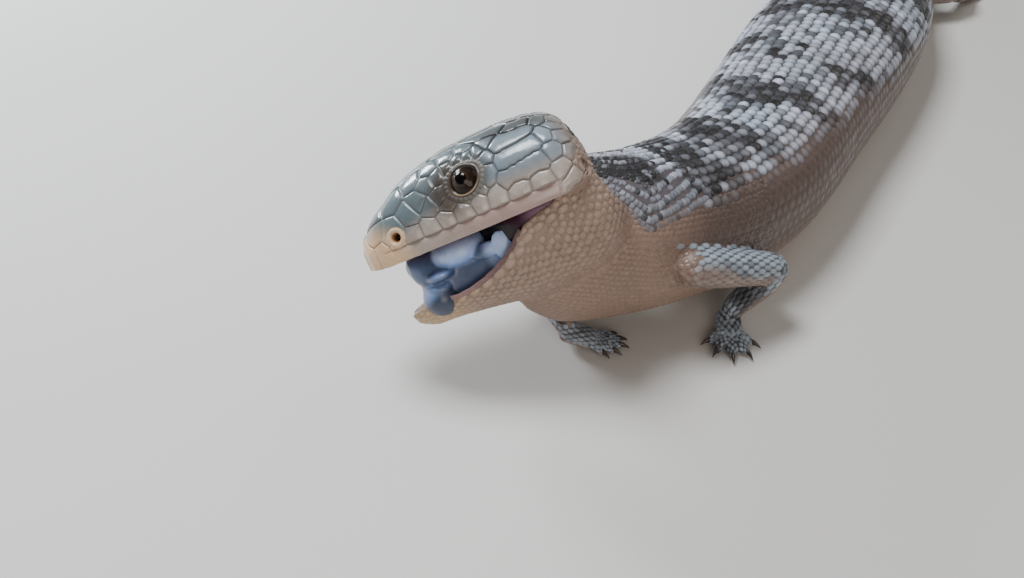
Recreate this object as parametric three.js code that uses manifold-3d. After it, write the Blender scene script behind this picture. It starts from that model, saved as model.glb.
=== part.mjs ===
// A blue-tongued skink at life size, standing with its chest raised, its head turned to its right and its mouth open
// round a blue tongue. Millimetres, +Z up, the floor at z = 0. The trunk lies along X with the tail towards +X, the
// animal's left is -Y, and the origin is under the middle of the belly.
import * as THREE from "three";
import { mergeVertices } from "three/addons/utils/BufferGeometryUtils.js";
import Module from "manifold-3d";

const wasm = await Module();
wasm.setup();

// Driving sizes
const GAP = 0.3; // between two pieces that touch
const HEAD_LENGTH = 51; // mouth corner to snout tip
const HEAD_PLACE = [-131, 22, 50]; // the middle of the head at the mouth corners
const HEAD_HEADING = 135.4; // degrees from +X, so the head looks to the animal's right
const HEAD_PITCH = 20; // nose down
const HEAD_ROLL = 28.5; // left side up
const GAPE = 17; // how far the jaw hangs open
const JAW_LENGTH = 49.5;
const EYE_RADIUS = 4.3;
const BELLY_FLAT = 0; // every foot, the belly and the tail rest at this level

const rad = THREE.MathUtils.degToRad;
const vec = (x, y, z) => new THREE.Vector3(x, y, z);

// The spine from the throat to the tail tip. Each station has its place, the half width, the height above and the
// depth below the spine, and the roll of the section in degrees, which fades from the head's roll to none.
const BODY_KEYS = ["x", "y", "z", "wide", "above", "below", "roll"];
const BODY = [
  [-140.0, 33.0, 34.0, 12.0, 9.0, 12.0, 20],
  [-136.5, 29.5, 34.0, 18.0, 15.5, 19.0, 18],
  [-129.0, 23.0, 33.0, 20.5, 20.0, 23.5, 14],
  [-119.0, 16.0, 29.5, 21.5, 21.0, 23.0, 8],
  [-105.0, 8.0, 26.0, 22.8, 21.5, 21.5, 3],
  [-84.0, 0.5, 23.3, 24.5, 21.0, 21.5, 0],
  [-55.0, -3.6, 21.3, 26.2, 20.8, 21.6, 0],
  [-15.0, -2.6, 20.8, 28.0, 21.3, 21.3, 0],
  [34.0, -1.0, 20.3, 30.5, 21.6, 20.8, 0],
  [76.0, 0.0, 18.8, 29.0, 20.3, 19.2, 0],
  [106.0, 1.0, 16.8, 23.0, 18.0, 17.2, 0],
  [132.0, 2.5, 14.6, 18.5, 15.5, 14.9, 0],
  [165.0, 6.5, 12.6, 15.6, 13.2, 12.8, 0],
  [200.0, 13.0, 10.3, 12.4, 10.6, 10.5, 0],
  [232.0, 21.5, 7.9, 9.2, 8.0, 8.1, 0],
  [262.0, 32.5, 5.4, 6.0, 5.4, 5.6, 0],
  [286.0, 43.5, 3.2, 3.2, 3.0, 3.4, 0],
  [301.0, 51.5, 1.5, 1.2, 1.2, 1.6, 0],
];
const SECTION_POWER = 2.25; // 2 is an ellipse, more is squarer
const BODY_SIDES = 32;

// The skull from the nape to the snout: distance ahead of the mouth corner, half width and height over the lip line.
const HEAD_KEYS = ["x", "wide", "top"];
const HEAD = [
  [-9.5, 9.0, 8.0],
  [-8.6, 14.0, 12.4],
  [-6.5, 18.0, 15.6],
  [-3.0, 20.2, 17.8],
  [1.0, 20.8, 18.9],
  [8.0, 20.2, 19.6],
  [16.0, 18.4, 19.7],
  [24.0, 16.2, 19.2],
  [31.0, 13.9, 17.9],
  [37.0, 12.0, 15.9],
  [42.0, 10.2, 13.2],
  [46.0, 8.4, 10.7],
  [49.4, 5.4, 7.6],
  [HEAD_LENGTH, 1.6, 4.6],
];
const HEAD_SIDES = 28;
const PALATE_ARCH = 2.4;

// The jaw from behind the mouth corner to the chin. The lip nearly meets the head's near the corner and sags beside the
// tongue, and the throat bulges below.
const JAW_KEYS = ["x", "wide", "lip", "deep"];
const JAW = [
  [-8.5, 14.0, 0.0, 19.0],
  [-3.0, 18.6, -0.2, 23.0],
  [4.0, 19.6, -0.8, 23.8],
  [12.0, 18.6, -1.3, 22.5],
  [16.5, 17.7, 0.6, 21.1],
  [20.0, 16.8, 2.2, 19.5],
  [28.0, 14.4, 3.4, 15.2],
  [35.0, 11.8, 2.9, 11.6],
  [41.0, 9.0, 0.9, 9.0],
  [46.0, 6.2, -0.5, 7.2],
  [JAW_LENGTH, 2.6, -0.7, 4.4],
];
const JAW_FLOOR = 3.0; // the mouth's floor lies this far under the lip line

// Reads a table of stations as a smooth curve of its first column.
function stationAt(table, keys, value, column = 0) {
  const last = table.length - 1;
  let i = 0;
  while (i < last - 1 && table[i + 1][column] <= value) i++;
  const t = Math.min(1, Math.max(0, (value - table[i][column]) / (table[i + 1][column] - table[i][column])));
  const found = {};
  keys.forEach((key, k) => {
    const [a, b, c, d] = [-1, 0, 1, 2].map((step) => table[Math.min(last, Math.max(0, i + step))][k]);
    found[key] = THREE.MathUtils.clamp(catmull(a, b, c, d, t), Math.min(b, c), Math.max(b, c));
  });
  return found;
}

function catmull(a, b, c, d, t) {
  const [ta, tb] = [(c - a) / 2, (d - b) / 2];
  return b + ta * t + (3 * (c - b) - 2 * ta - tb) * t * t + (2 * (b - c) + ta + tb) * t * t * t;
}

const signedPower = (value, power) => Math.sign(value) * Math.abs(value) ** power;

// A closed solid through rings of points, all with the same count, its ends closed by fans.
function loftSolid(rings) {
  const [rows, sides] = [rings.length, rings[0].length];
  const middles = [rings[0], rings[rows - 1]].map((ring) =>
    ring.reduce((sum, p) => sum.add(p), vec(0, 0, 0)).divideScalar(sides),
  );
  const points = [...rings.flat(), ...middles];
  const faces = [];
  for (let j = 0; j < sides; j++) {
    const k = (j + 1) % sides;
    for (let i = 0; i < rows - 1; i++) {
      const [a, b, c, d] = [i * sides + j, i * sides + k, (i + 1) * sides + k, (i + 1) * sides + j];
      faces.push(a, b, c, a, c, d);
    }
    faces.push(k, j, rows * sides);
    faces.push((rows - 1) * sides + j, (rows - 1) * sides + k, rows * sides + 1);
  }
  const geometry = new THREE.BufferGeometry().setFromPoints(points);
  geometry.setIndex(faces);
  return solidOf(geometry);
}

function solidOf(geometry) {
  const bare = geometry.clone();
  bare.deleteAttribute("normal");
  bare.deleteAttribute("uv");
  const merged = mergeVertices(bare, 1e-4);
  const made = new wasm.Manifold(
    new wasm.Mesh({
      numProp: 3,
      vertProperties: new Float32Array(merged.attributes.position.array),
      triVerts: new Uint32Array(merged.index.array),
    }),
  );
  if (made.volume() >= 0) return made;
  const turned = merged.index.array;
  for (let i = 0; i < turned.length; i += 3) [turned[i + 1], turned[i + 2]] = [turned[i + 2], turned[i + 1]];
  return solidOf(merged);
}

function geometryOf(solid) {
  const mesh = solid.getMesh();
  const geometry = new THREE.BufferGeometry();
  geometry.setAttribute("position", new THREE.BufferAttribute(new Float32Array(mesh.vertProperties), 3));
  geometry.setIndex(new THREE.BufferAttribute(new Uint32Array(mesh.triVerts), 1));
  geometry.computeVertexNormals();
  return geometry;
}

const largestOf = (solid) => solid.decompose().sort((a, b) => b.volume() - a.volume())[0];
const joined = (solids) => solids.reduce((sum, one) => sum.add(one));
const moved = (solid, matrix) => solidOf(geometryOf(solid).applyMatrix4(matrix));
const boxSolid = (low, high) =>
  solidOf(
    new THREE.BoxGeometry(high[0] - low[0], high[1] - low[1], high[2] - low[2]).translate(
      (low[0] + high[0]) / 2,
      (low[1] + high[1]) / 2,
      (low[2] + high[2]) / 2,
    ),
  );
const BELOW_FLOOR = boxSolid([-500, -500, -100], [500, 500, BELLY_FLAT]);

// The spine and its frame at a station number, which may lie between two stations.
function bodyFrame(station) {
  const table = BODY.map((row, i) => [...row, i]);
  const at = (s) => stationAt(table, [...BODY_KEYS, "number"], s, BODY_KEYS.length);
  const here = at(station);
  const [before, after] = [at(Math.max(0, station - 0.05)), at(Math.min(BODY.length - 1, station + 0.05))];
  const forward = vec(before.x - after.x, before.y - after.y, before.z - after.z).normalize();
  const left = vec(0, 0, 1).cross(forward).normalize().applyAxisAngle(forward, rad(here.roll));
  return { ...here, place: vec(here.x, here.y, here.z), forward, left, up: forward.clone().cross(left) };
}

function bodyRing(station, grow = 0) {
  const f = bodyFrame(station);
  return Array.from({ length: BODY_SIDES }, (_, i) => {
    const turn = (2 * Math.PI * i) / BODY_SIDES;
    const side = signedPower(Math.cos(turn), 2 / SECTION_POWER) * (f.wide + grow);
    const rise = signedPower(Math.sin(turn), 2 / SECTION_POWER) * ((turn < Math.PI ? f.above : f.below) + grow);
    return f.place.clone().addScaledVector(f.left, side).addScaledVector(f.up, rise);
  });
}

// A length of the body between two stations, drawn back at each end by half the gap.
function bodyLength(from, to, rings, grow = 0) {
  const drawn = (station) => GAP / 2 / bodyFrame(station - 0.5).place.distanceTo(bodyFrame(station + 0.5).place);
  const start = from > 0 ? from + drawn(from) : from;
  const end = to < BODY.length - 1 ? to - drawn(to) : to;
  const steps = Array.from({ length: rings }, (_, i) => start + ((end - start) * i) / (rings - 1));
  return loftSolid(steps.map((s) => bodyRing(s, grow)));
}

// The skull: a superellipse over the lip line and a shallow arch for the palate.
function headRing(x, grow = 0) {
  const f = stationAt(HEAD, HEAD_KEYS, x);
  return Array.from({ length: HEAD_SIDES }, (_, i) => {
    const turn = (2 * Math.PI * i) / HEAD_SIDES;
    const side = signedPower(Math.cos(turn), 0.8) * (f.wide + grow);
    const arch = Math.min(PALATE_ARCH, f.top * 0.3);
    const rise =
      turn <= Math.PI ? Math.sin(turn) ** 0.85 * (f.top + grow) : arch * Math.sin(turn) ** 2 - grow;
    return vec(x, side, rise);
  });
}

function jawRing(x, grow = 0) {
  const f = stationAt(JAW, JAW_KEYS, x);
  const floor = Math.min(JAW_FLOOR, (f.deep - f.lip) * 0.35);
  return Array.from({ length: HEAD_SIDES }, (_, i) => {
    const turn = (2 * Math.PI * i) / HEAD_SIDES;
    const side = signedPower(Math.cos(turn), 0.8) * (f.wide + grow);
    const under = Math.abs(Math.sin(turn)) ** 0.9 * (f.deep - f.lip + grow);
    return vec(x, side, -f.lip - (turn < Math.PI ? floor * Math.sin(turn) ** 2 - grow : under));
  });
}

function tableSpan(table, rings) {
  const [first, last] = [table[0][0], table[table.length - 1][0]];
  // Closer rings at the snout, where the outline turns fastest
  return Array.from({ length: rings }, (_, i) => first + (last - first) * Math.sin(((i / (rings - 1)) * Math.PI) / 2));
}

// Groups: the head carries the jaw, the eyes and the tongue in its own turned frame.
const skink = new THREE.Group();
const headGroup = new THREE.Group();
headGroup.position.set(...HEAD_PLACE);
headGroup.rotation.set(rad(HEAD_ROLL), rad(HEAD_PITCH), rad(HEAD_HEADING), "ZYX");
skink.add(headGroup);
const jawGroup = new THREE.Group();
jawGroup.rotation.y = rad(GAPE);
headGroup.add(jawGroup);
skink.updateMatrixWorld(true);

const SKIN = 0xb9b4ad;
const EYE = 0x3a2416;
const TONGUE_BLUE = 0x7d9fd6;

const FLATNESS = 0.08; // faces that bend less than this are merged

function addNode(group, name, solid, color, roughness = 0.6) {
  const mesh = new THREE.Mesh(
    geometryOf(largestOf(solid.simplify(FLATNESS))),
    new THREE.MeshStandardMaterial({ color, roughness, metalness: 0 }),
  );
  mesh.name = name;
  group.add(mesh);
  return mesh;
}

// A point of the head's outside at a distance ahead of the mouth corner and a turn in degrees, 0 at the left lip and
// 90 at the crown, raised by a lift along the surface's own direction.
function headPoint(x, turn, lift = 0) {
  const at = (px, degrees) => {
    const f = stationAt(HEAD, HEAD_KEYS, px);
    const a = rad(degrees);
    return vec(px, signedPower(Math.cos(a), 0.8) * f.wide, Math.max(0, Math.sin(a)) ** 0.85 * f.top);
  };
  const place = at(x, turn);
  const along = at(x + 0.2, turn).sub(at(x - 0.2, turn));
  const around = at(x, turn + 1.5).sub(at(x, turn - 1.5));
  return place.addScaledVector(around.cross(along).normalize(), lift);
}

function jawPoint(x, turn, lift = 0) {
  const at = (px, degrees) => {
    const f = stationAt(JAW, JAW_KEYS, px);
    const a = rad(degrees);
    return vec(px, signedPower(Math.cos(a), 0.8) * f.wide, -f.lip - Math.sin(a) ** 0.9 * (f.deep - f.lip));
  };
  const place = at(x, turn);
  const along = at(x + 0.2, turn).sub(at(x - 0.2, turn));
  const around = at(x, turn + 1.5).sub(at(x, turn - 1.5));
  return place.addScaledVector(along.cross(around).normalize(), lift);
}

// A raised shield: a rounded oblong patch of the surface with a bevelled top.
const SHIELD_CORNERS = 6;
const SHIELD_RISE = 0.35;
const SHIELD_ROOT = -0.7;
const SHIELD_ROOM = GAP + SHIELD_RISE + 0.15; // a neighbour keeps this far from the shielded skin
function shieldSolid(surface, [x, turn, halfLength, halfTurn]) {
  const ring = (shrink, lift) =>
    Array.from({ length: SHIELD_CORNERS }, (_, i) => {
      const a = (2 * Math.PI * (i + 0.5)) / SHIELD_CORNERS;
      const along = signedPower(Math.cos(a), 0.6) * halfLength * shrink;
      const around = signedPower(Math.sin(a), 0.6) * halfTurn * shrink;
      return surface(x + along, turn + around, lift);
    });
  return loftSolid([ring(1, SHIELD_ROOT), ring(0.86, SHIELD_RISE)]);
}

// Shields on the midline of the head, then those of one side: place ahead of the mouth corner, turn from the lip,
// half length and half width in degrees.
const MIDDLE_SHIELDS = [
  [45.2, 90, 1.9, 30], // frontonasal
  [40.6, 90, 1.9, 22],
  [33.0, 90, 4.8, 15], // frontal
  [12.0, 90, 4.4, 10], // interparietal
];
const SIDE_SHIELDS = [
  [38.6, 59, 2.8, 11], // prefrontal
  [32.6, 63, 2.6, 10], // above the eye
  [27.0, 62, 2.4, 11],
  [21.6, 61, 2.4, 11],
  [22.6, 82, 3.8, 6], // frontoparietal
  [12.0, 70, 5.0, 8], // parietal
  [2.6, 80, 3.2, 8], // nape
  [2.6, 62, 3.4, 8],
  [12.6, 52, 4.0, 7], // temples
  [3.4, 44, 3.8, 8],
  [11.4, 36, 4.4, 7],
  [2.4, 26, 4.0, 7],
  [10.4, 21, 4.2, 6],
  [36.0, 33, 2.4, 12], // loreals
  [31.0, 30, 1.9, 10],
];
const LIP_SHIELDS = 8;
const LIP_SHIELD_PITCH = 5.0;
const LIP_SHIELD_FIRST = 44.6;
const JAW_SHIELDS = 7;
const JAW_SHIELD_FIRST = 42;

const mirrored = ([x, turn, halfLength, halfTurn]) => [x, 180 - turn, halfLength, halfTurn];
const bothSides = (list) => [...list, ...list.map(mirrored)];
const lipRow = (count, first, turn, halfTurn) =>
  Array.from({ length: count }, (_, i) => [first - i * LIP_SHIELD_PITCH, turn, LIP_SHIELD_PITCH / 2 - 0.3, halfTurn]);

// The eye sits under its lids in the side of the head.
const EYE_AHEAD = 20.4;
const EYE_TURN = 35.5;
const EYE_SUNK = -2.7; // centre below the skin
const LID_LONG = 4.9;
const LID_TALL = 3.8;
const LID_THICK = 0.7;
const EYE_TILT = -28; // the front corner of the eye is the lower one
const NOSTRIL = { ahead: 41.3, turn: 22, radius: 1.1, ring: 2.3, depth: 2.4 };
const EAR = { ahead: -7.0, turn: 10, radius: 1.3, depth: 2.6 };

function sphereSolid(centre, radius, across = 14) {
  return solidOf(new THREE.SphereGeometry(radius, across, Math.round(across * 0.6)).translate(centre.x, centre.y, centre.z));
}

// A frame on the head's side: outward, forward and upward directions.
function headFrame(ahead, turn) {
  const place = headPoint(ahead, turn);
  const out = headPoint(ahead, turn, 1).sub(place).normalize();
  const forward = vec(1, 0, 0).addScaledVector(out, -out.x).normalize();
  const up = forward.clone().cross(out);
  if (up.z < 0) up.negate();
  return { place, out, forward, up };
}

// A ring of round section bent round an oval on the head's side.
function ovalRing(ahead, turn, long, tall, thick, lift, tilt = 0) {
  const { place, out, forward, up } = headFrame(ahead, turn);
  const [around, section] = [16, 5];
  const geometry = new THREE.TorusGeometry(1, 0.2, section, around);
  const position = geometry.attributes.position;
  const point = vec(0, 0, 0);
  for (let i = 0; i < position.count; i++) {
    point.fromBufferAttribute(position, i);
    const angle = Math.atan2(point.y, point.x);
    const reach = (Math.hypot(point.x, point.y) - 1) / 0.2;
    const along = Math.cos(angle) * (long + reach * thick);
    const rise = Math.sin(angle) * (tall + reach * thick);
    const height = lift + (point.z / 0.2) * thick;
    const [c, s] = [Math.cos(rad(tilt)), Math.sin(rad(tilt))];
    const world = place
      .clone()
      .addScaledVector(forward, along * c - rise * s)
      .addScaledVector(up, along * s + rise * c)
      .addScaledVector(out, height);
    position.setXYZ(i, world.x, world.y, world.z);
  }
  return solidOf(geometry);
}

function pitSolid({ ahead, turn, radius, depth }) {
  const { place, out, forward, up } = headFrame(ahead, turn);
  const ring = (size, height) =>
    Array.from({ length: 12 }, (_, i) => {
      const a = (2 * Math.PI * i) / 12;
      return place
        .clone()
        .addScaledVector(forward, Math.cos(a) * size)
        .addScaledVector(up, Math.sin(a) * size)
        .addScaledVector(out, height);
    });
  return loftSolid([ring(radius * 1.15, 2), ring(radius, -depth * 0.3), ring(radius * 0.7, -depth)]);
}

// Head: the skull with its shields, nostril rims and lids, hollowed for the eyes, nostrils and ears.
const eyeCentres = [EYE_TURN, 180 - EYE_TURN].map((turn) => headPoint(EYE_AHEAD, turn, EYE_SUNK));
const headSpan = tableSpan(HEAD, 20);
const headShields = [
  ...MIDDLE_SHIELDS,
  ...bothSides(SIDE_SHIELDS),
  ...bothSides(lipRow(LIP_SHIELDS, LIP_SHIELD_FIRST, 8.5, 6)),
];

// A loft of a table's rings, grown outwards all round and past both ends.
function loftOut(ringAt, span, grow = 0) {
  const rings = span.map((x) => ringAt(x, grow));
  for (const point of rings[0]) point.x -= grow;
  for (const point of rings[rings.length - 1]) point.x += grow;
  return loftSolid(rings);
}
const rims = [EYE_TURN, 180 - EYE_TURN].map((turn) =>
  ovalRing(EYE_AHEAD, turn, LID_LONG, LID_TALL, LID_THICK, 0, EYE_TILT),
);
const nostrilRims = [NOSTRIL.turn, 180 - NOSTRIL.turn].map((turn) =>
  ovalRing(NOSTRIL.ahead, turn, NOSTRIL.ring - 0.5, NOSTRIL.ring - 0.5, 0.55, 0.1),
);
const pits = [NOSTRIL, { ...NOSTRIL, turn: 180 - NOSTRIL.turn }, EAR, { ...EAR, turn: 180 - EAR.turn }].map(pitSolid);
const sockets = eyeCentres.map((centre) => sphereSolid(centre, EYE_RADIUS + GAP));
const eyeMouths = [EYE_TURN, 180 - EYE_TURN].map((turn) =>
  pitSolid({ ahead: EYE_AHEAD, turn, radius: LID_TALL - LID_THICK - 0.1, depth: 1.5 }),
);
const headSolid = joined([
  loftOut(headRing, headSpan),
  ...headShields.map((shield) => shieldSolid(headPoint, shield)),
  ...rims,
  ...nostrilRims,
])
  .subtract(joined([...pits, ...sockets, ...eyeMouths]));
const headShell = loftOut(headRing, headSpan, SHIELD_ROOM);
const headGrown = moved(headShell, headGroup.matrixWorld);
addNode(headGroup, "head", headSolid, SKIN);
addNode(headGroup, "eye_left", sphereSolid(eyeCentres[0], EYE_RADIUS), EYE, 0.1);
addNode(headGroup, "eye_right", sphereSolid(eyeCentres[1], EYE_RADIUS), EYE, 0.1);

// Lower jaw
const jawSpan = tableSpan(JAW, 15);
const jawShields = bothSides(lipRow(JAW_SHIELDS, JAW_SHIELD_FIRST, 9, 6.5));
const headInJaw = moved(headShell, jawGroup.matrix.clone().invert());
const jawSolid = joined([
  loftOut(jawRing, jawSpan),
  ...jawShields.map((shield) => shieldSolid(jawPoint, shield)),
]).subtract(headInJaw);
const jawGrown = moved(loftOut(jawRing, jawSpan, SHIELD_ROOM), jawGroup.matrixWorld);
addNode(jawGroup, "lower_jaw", jawSolid, SKIN);

// Tongue: a body with a swollen cushion, two folds, a round tip and a thin lobe at each side beside the lip.
const TONGUE_KEYS = ["x", "wide", "top", "base"];
const TONGUE_SIDES = 14;
const TONGUE = [
  [6.0, 5.0, -8.0, -12.0],
  [10.0, 9.0, -7.0, -14.0],
  [17.0, 11.0, -5.5, -16.0],
  [24.0, 10.4, -3.5, -18.5],
  [30.0, 9.4, -2.0, -18.5],
  [36.0, 8.6, -1.0, -17.0],
  [40.0, 7.2, -0.8, -12.0],
  [42.4, 5.0, -1.4, -8.0],
  [43.4, 2.0, -3.0, -5.5],
];
function tongueRing(x, grow = 0) {
  const f = stationAt(TONGUE, TONGUE_KEYS, x);
  const [middle, half] = [(f.top + f.base) / 2, (f.top - f.base) / 2];
  return Array.from({ length: TONGUE_SIDES }, (_, i) => {
    const turn = (2 * Math.PI * i) / TONGUE_SIDES;
    const side = signedPower(Math.cos(turn), 0.8) * (f.wide + grow);
    return vec(x, side, middle + signedPower(Math.sin(turn), 0.8) * (half + grow));
  });
}
// Each swelling has its place, its half sizes and a turn about the crossways axis in degrees.
const SWELLINGS = [
  [[29.0, 0, -3.9], [7.4, 13.0, 4.2], 0], // cushion
  [[35.6, 0, -7.4], [4.6, 12.0, 1.8], 0], // folds
  [[37.2, 0, -10.4], [4.8, 10.6, 2.0], 0],
  [[37.8, 5.0, -12.6], [4.9, 4.8, 4.6], 0], // tip
];
const LOBE_PARTS = [
  [[22.8, 11.4, -6.0], [4.0, 1.7, 2.1], 0],
  [[18.3, 12.8, -6.6], [2.9, 1.1, 4.2], 8],
  [[15.9, 13.0, -4.0], [1.0, 0.8, 2.5], 20],
  [[17.8, 12.2, -10.0], [1.3, 0.8, 2.4], -12],
];
const swelling = ([place, size, tilt], grow = 0, side = 1, [around, down] = [10, 7]) =>
  solidOf(
    new THREE.SphereGeometry(1, around, down)
      .scale(...size.map((half) => half + grow))
      .rotateY(rad(tilt))
      .translate(place[0], side * place[1], place[2]),
  );
const lobesOf = (grow) => [1, -1].flatMap((side) => LOBE_PARTS.map((one) => swelling(one, grow, side, [8, 5])));
const tongueSpan = tableSpan(TONGUE, 12);
const tongueSolid = joined([loftOut(tongueRing, tongueSpan), ...SWELLINGS.map((one) => swelling(one)), ...lobesOf(0)]);
const tongue = moved(tongueSolid, headGroup.matrixWorld).subtract(headGrown).subtract(jawGrown).simplify(0.08);
addNode(skink, "tongue", tongue, TONGUE_BLUE, 0.4);
const tongueGrown = moved(joined([loftOut(tongueRing, tongueSpan, 2 * GAP), ...lobesOf(2 * GAP)]), headGroup.matrixWorld);

// Neck, trunk and tail lengths. The neck is cut back from the head, the jaw and the tongue.
const neck = bodyLength(0, 4, 13).subtract(headGrown).subtract(jawGrown);
const torso = bodyLength(4, 11, 20).subtract(BELOW_FLOOR);
addNode(skink, "neck", neck.subtract(mouthSpace()).subtract(tongueGrown), SKIN);
addNode(skink, "torso", torso, SKIN);

// The open throat behind the tongue, taken out of the neck.
function mouthSpace() {
  const ring = (x, wide, top, base) =>
    Array.from({ length: 16 }, (_, i) => {
      const turn = (2 * Math.PI * i) / 16;
      return vec(x, Math.cos(turn) * wide, (top + base) / 2 + (Math.sin(turn) * (top - base)) / 2);
    });
  return moved(loftSolid([ring(-4, 7, -2, -10), ring(4, 15, 2, -14), ring(44, 22, 2, -26)]), headGroup.matrixWorld);
}

const TAIL_LENGTHS = [
  ["tail_base", 11, 13],
  ["tail_middle", 13, 15],
  ["tail_tip", 15, 17],
];
for (const [name, from, to] of TAIL_LENGTHS) {
  addNode(skink, name, bodyLength(from, to, 8).subtract(BELOW_FLOOR), SKIN);
}

// A limb length: a tapered rounded bar between two points with the radii given along it.
function limbBar(from, to, radii, grow = 0, flat = 1) {
  const axis = to.clone().sub(from);
  const length = axis.length();
  axis.normalize();
  const side = vec(0, 0, 1).cross(axis).normalize();
  const up = axis.clone().cross(side);
  const steps = 7;
  const rings = Array.from({ length: steps }, (_, i) => {
    const t = i / (steps - 1);
    const radius = radiusAlong(radii, t);
    const endCap = Math.sqrt(Math.max(0.04, 1 - (2 * t - 1) ** 8));
    const along = t * (length + 2 * grow) - grow;
    return Array.from({ length: 10 }, (_, j) => {
      const a = (2 * Math.PI * j) / 10;
      return from
        .clone()
        .addScaledVector(axis, along)
        .addScaledVector(side, Math.cos(a) * (radius * endCap + grow))
        .addScaledVector(up, Math.sin(a) * (radius * endCap * flat + grow));
    });
  });
  return loftSolid(rings);
}

function radiusAlong(radii, t) {
  const place = t * (radii.length - 1);
  const i = Math.min(radii.length - 2, Math.floor(place));
  return THREE.MathUtils.lerp(radii[i], radii[i + 1], place - i);
}

// Legs: shoulder or hip, elbow or knee, wrist or ankle, then the way the middle toe points in degrees from +X.
const LEGS = {
  foreleg_left: { joints: [[-122, -8.8, 29], [-93, -28.5, 17.5], [-103, -19, 5.2]], toes: 208, fan: 1, thick: 1, foot: "forefoot_left" },
  foreleg_right: { joints: [[-99, 24, 14], [-117, 36, 9], [-131.5, 16.5, 5]], toes: 288, fan: 0.6, thick: 1, foot: "forefoot_right" },
  hindleg_left: { joints: [[124, -8, 15], [141, -26, 12], [159, -28, 5.4]], toes: 350, fan: 0.8, thick: 1.15, foot: "hindfoot_left" },
  hindleg_right: { joints: [[122, 13, 15], [113, 35, 13], [131, 41, 5.4]], toes: 118, fan: 1, thick: 1.15, foot: "hindfoot_right" },
};
const UPPER_RADII = [5.8, 5.8, 5.3, 4.7];
const LOWER_RADII = [4.7, 4.7, 4.0, 3.3];
const PALM = { length: 8.5, radii: [3.2, 4.2, 4.4], flat: 0.62 };
const TOE_SPREAD = [-62, -30, 0, 28, 58];
const TOE_LENGTHS = [4.6, 6.6, 7.8, 7.2, 5.2];
const TOE_RADIUS = 1.5;
const CLAW_LENGTH = 2.3;

const heading = (degrees) => vec(Math.cos(rad(degrees)), Math.sin(rad(degrees)), 0);

function toeSolid(knuckle, direction, length) {
  const arch = (t) =>
    knuckle
      .clone()
      .addScaledVector(direction, t * length)
      .setZ(THREE.MathUtils.lerp(knuckle.z, 1.1, t) + Math.sin(Math.PI * t) * 0.5);
  const parts = [];
  const ring = (centre, radius) =>
    Array.from({ length: 6 }, (_, i) => {
      const a = (2 * Math.PI * i) / 6;
      const side = vec(-direction.y, direction.x, 0);
      return centre.clone().addScaledVector(side, Math.cos(a) * radius).add(vec(0, 0, Math.sin(a) * radius));
    });
  const toe = [0, 0.5, 0.88, 1].map((t) => ring(arch(t), TOE_RADIUS * (t === 1 ? 0.55 : 1 - 0.22 * t)));
  parts.push(loftSolid(toe));
  const claw = [0, 0.5, 1].map((t) =>
    ring(
      arch(0.94).addScaledVector(direction, t * CLAW_LENGTH).add(vec(0, 0, 0.35 - 0.75 * t * t)),
      TOE_RADIUS * 0.52 * (1 - 0.86 * t),
    ),
  );
  parts.push(loftSolid(claw));
  return parts;
}

function buildLeg(name, { joints, toes, fan, thick, foot }) {
  const [root, bend, wrist] = joints.map((p) => vec(...p));
  const sized = (radii) => radii.map((r) => r * thick);
  const legOf = (grow) =>
    limbBar(root, bend.clone().lerp(root, -0.08), sized(UPPER_RADII), grow).add(
      limbBar(bend.clone().lerp(wrist, -0.1), wrist, sized(LOWER_RADII), grow),
    );
  const forward = heading(toes);
  const palmStart = wrist.clone().addScaledVector(forward, -1.5).setZ(3.4);
  const palmEnd = wrist.clone().addScaledVector(forward, PALM.length * thick).setZ(2.0);
  const palm = limbBar(palmStart, palmEnd, sized(PALM.radii), 0, PALM.flat);
  const footParts = [palm];
  TOE_SPREAD.forEach((spread, i) => {
    const direction = heading(toes + spread * fan);
    const knuckle = palmEnd.clone().addScaledVector(forward, -3.4 * thick).addScaledVector(direction, 2.6 * thick).setZ(1.7);
    footParts.push(...toeSolid(knuckle, direction, TOE_LENGTHS[i] * thick));
  });
  const leg = legOf(0).subtract(bodyLength(0, 13, 60, GAP)).subtract(BELOW_FLOOR);
  addNode(skink, name, leg, SKIN);
  addNode(skink, foot, joined(footParts).subtract(legOf(GAP)).subtract(BELOW_FLOOR), SKIN);
}
for (const [name, leg] of Object.entries(LEGS)) buildLeg(name, leg);

export default skink;
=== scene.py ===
"""Blue tongued skink: skin, scales, head shields, lids, eyes, tongue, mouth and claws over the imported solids.

Lengths are in millimetres until a mesh is made. Stations, turns and tables are those of the solids.
"""
import itertools
import math

import bpy
import numpy as np
from mathutils import Matrix, Vector
from mathutils.bvhtree import BVHTree
from mathutils.kdtree import KDTree


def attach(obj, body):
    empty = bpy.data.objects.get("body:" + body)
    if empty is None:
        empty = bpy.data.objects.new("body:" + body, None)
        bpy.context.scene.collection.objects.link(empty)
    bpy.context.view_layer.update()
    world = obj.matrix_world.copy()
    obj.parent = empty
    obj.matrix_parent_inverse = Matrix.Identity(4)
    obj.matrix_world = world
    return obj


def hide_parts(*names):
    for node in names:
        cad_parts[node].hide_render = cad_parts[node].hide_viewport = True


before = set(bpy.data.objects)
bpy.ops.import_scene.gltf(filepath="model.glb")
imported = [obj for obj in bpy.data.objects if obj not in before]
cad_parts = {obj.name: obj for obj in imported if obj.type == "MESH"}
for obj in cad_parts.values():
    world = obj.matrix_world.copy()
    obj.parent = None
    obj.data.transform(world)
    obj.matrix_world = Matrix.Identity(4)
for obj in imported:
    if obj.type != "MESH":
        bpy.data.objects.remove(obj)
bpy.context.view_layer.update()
random = np.random.default_rng(11)
MM = 0.001
UP = np.array([0.0, 0.0, 1.0])

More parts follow.
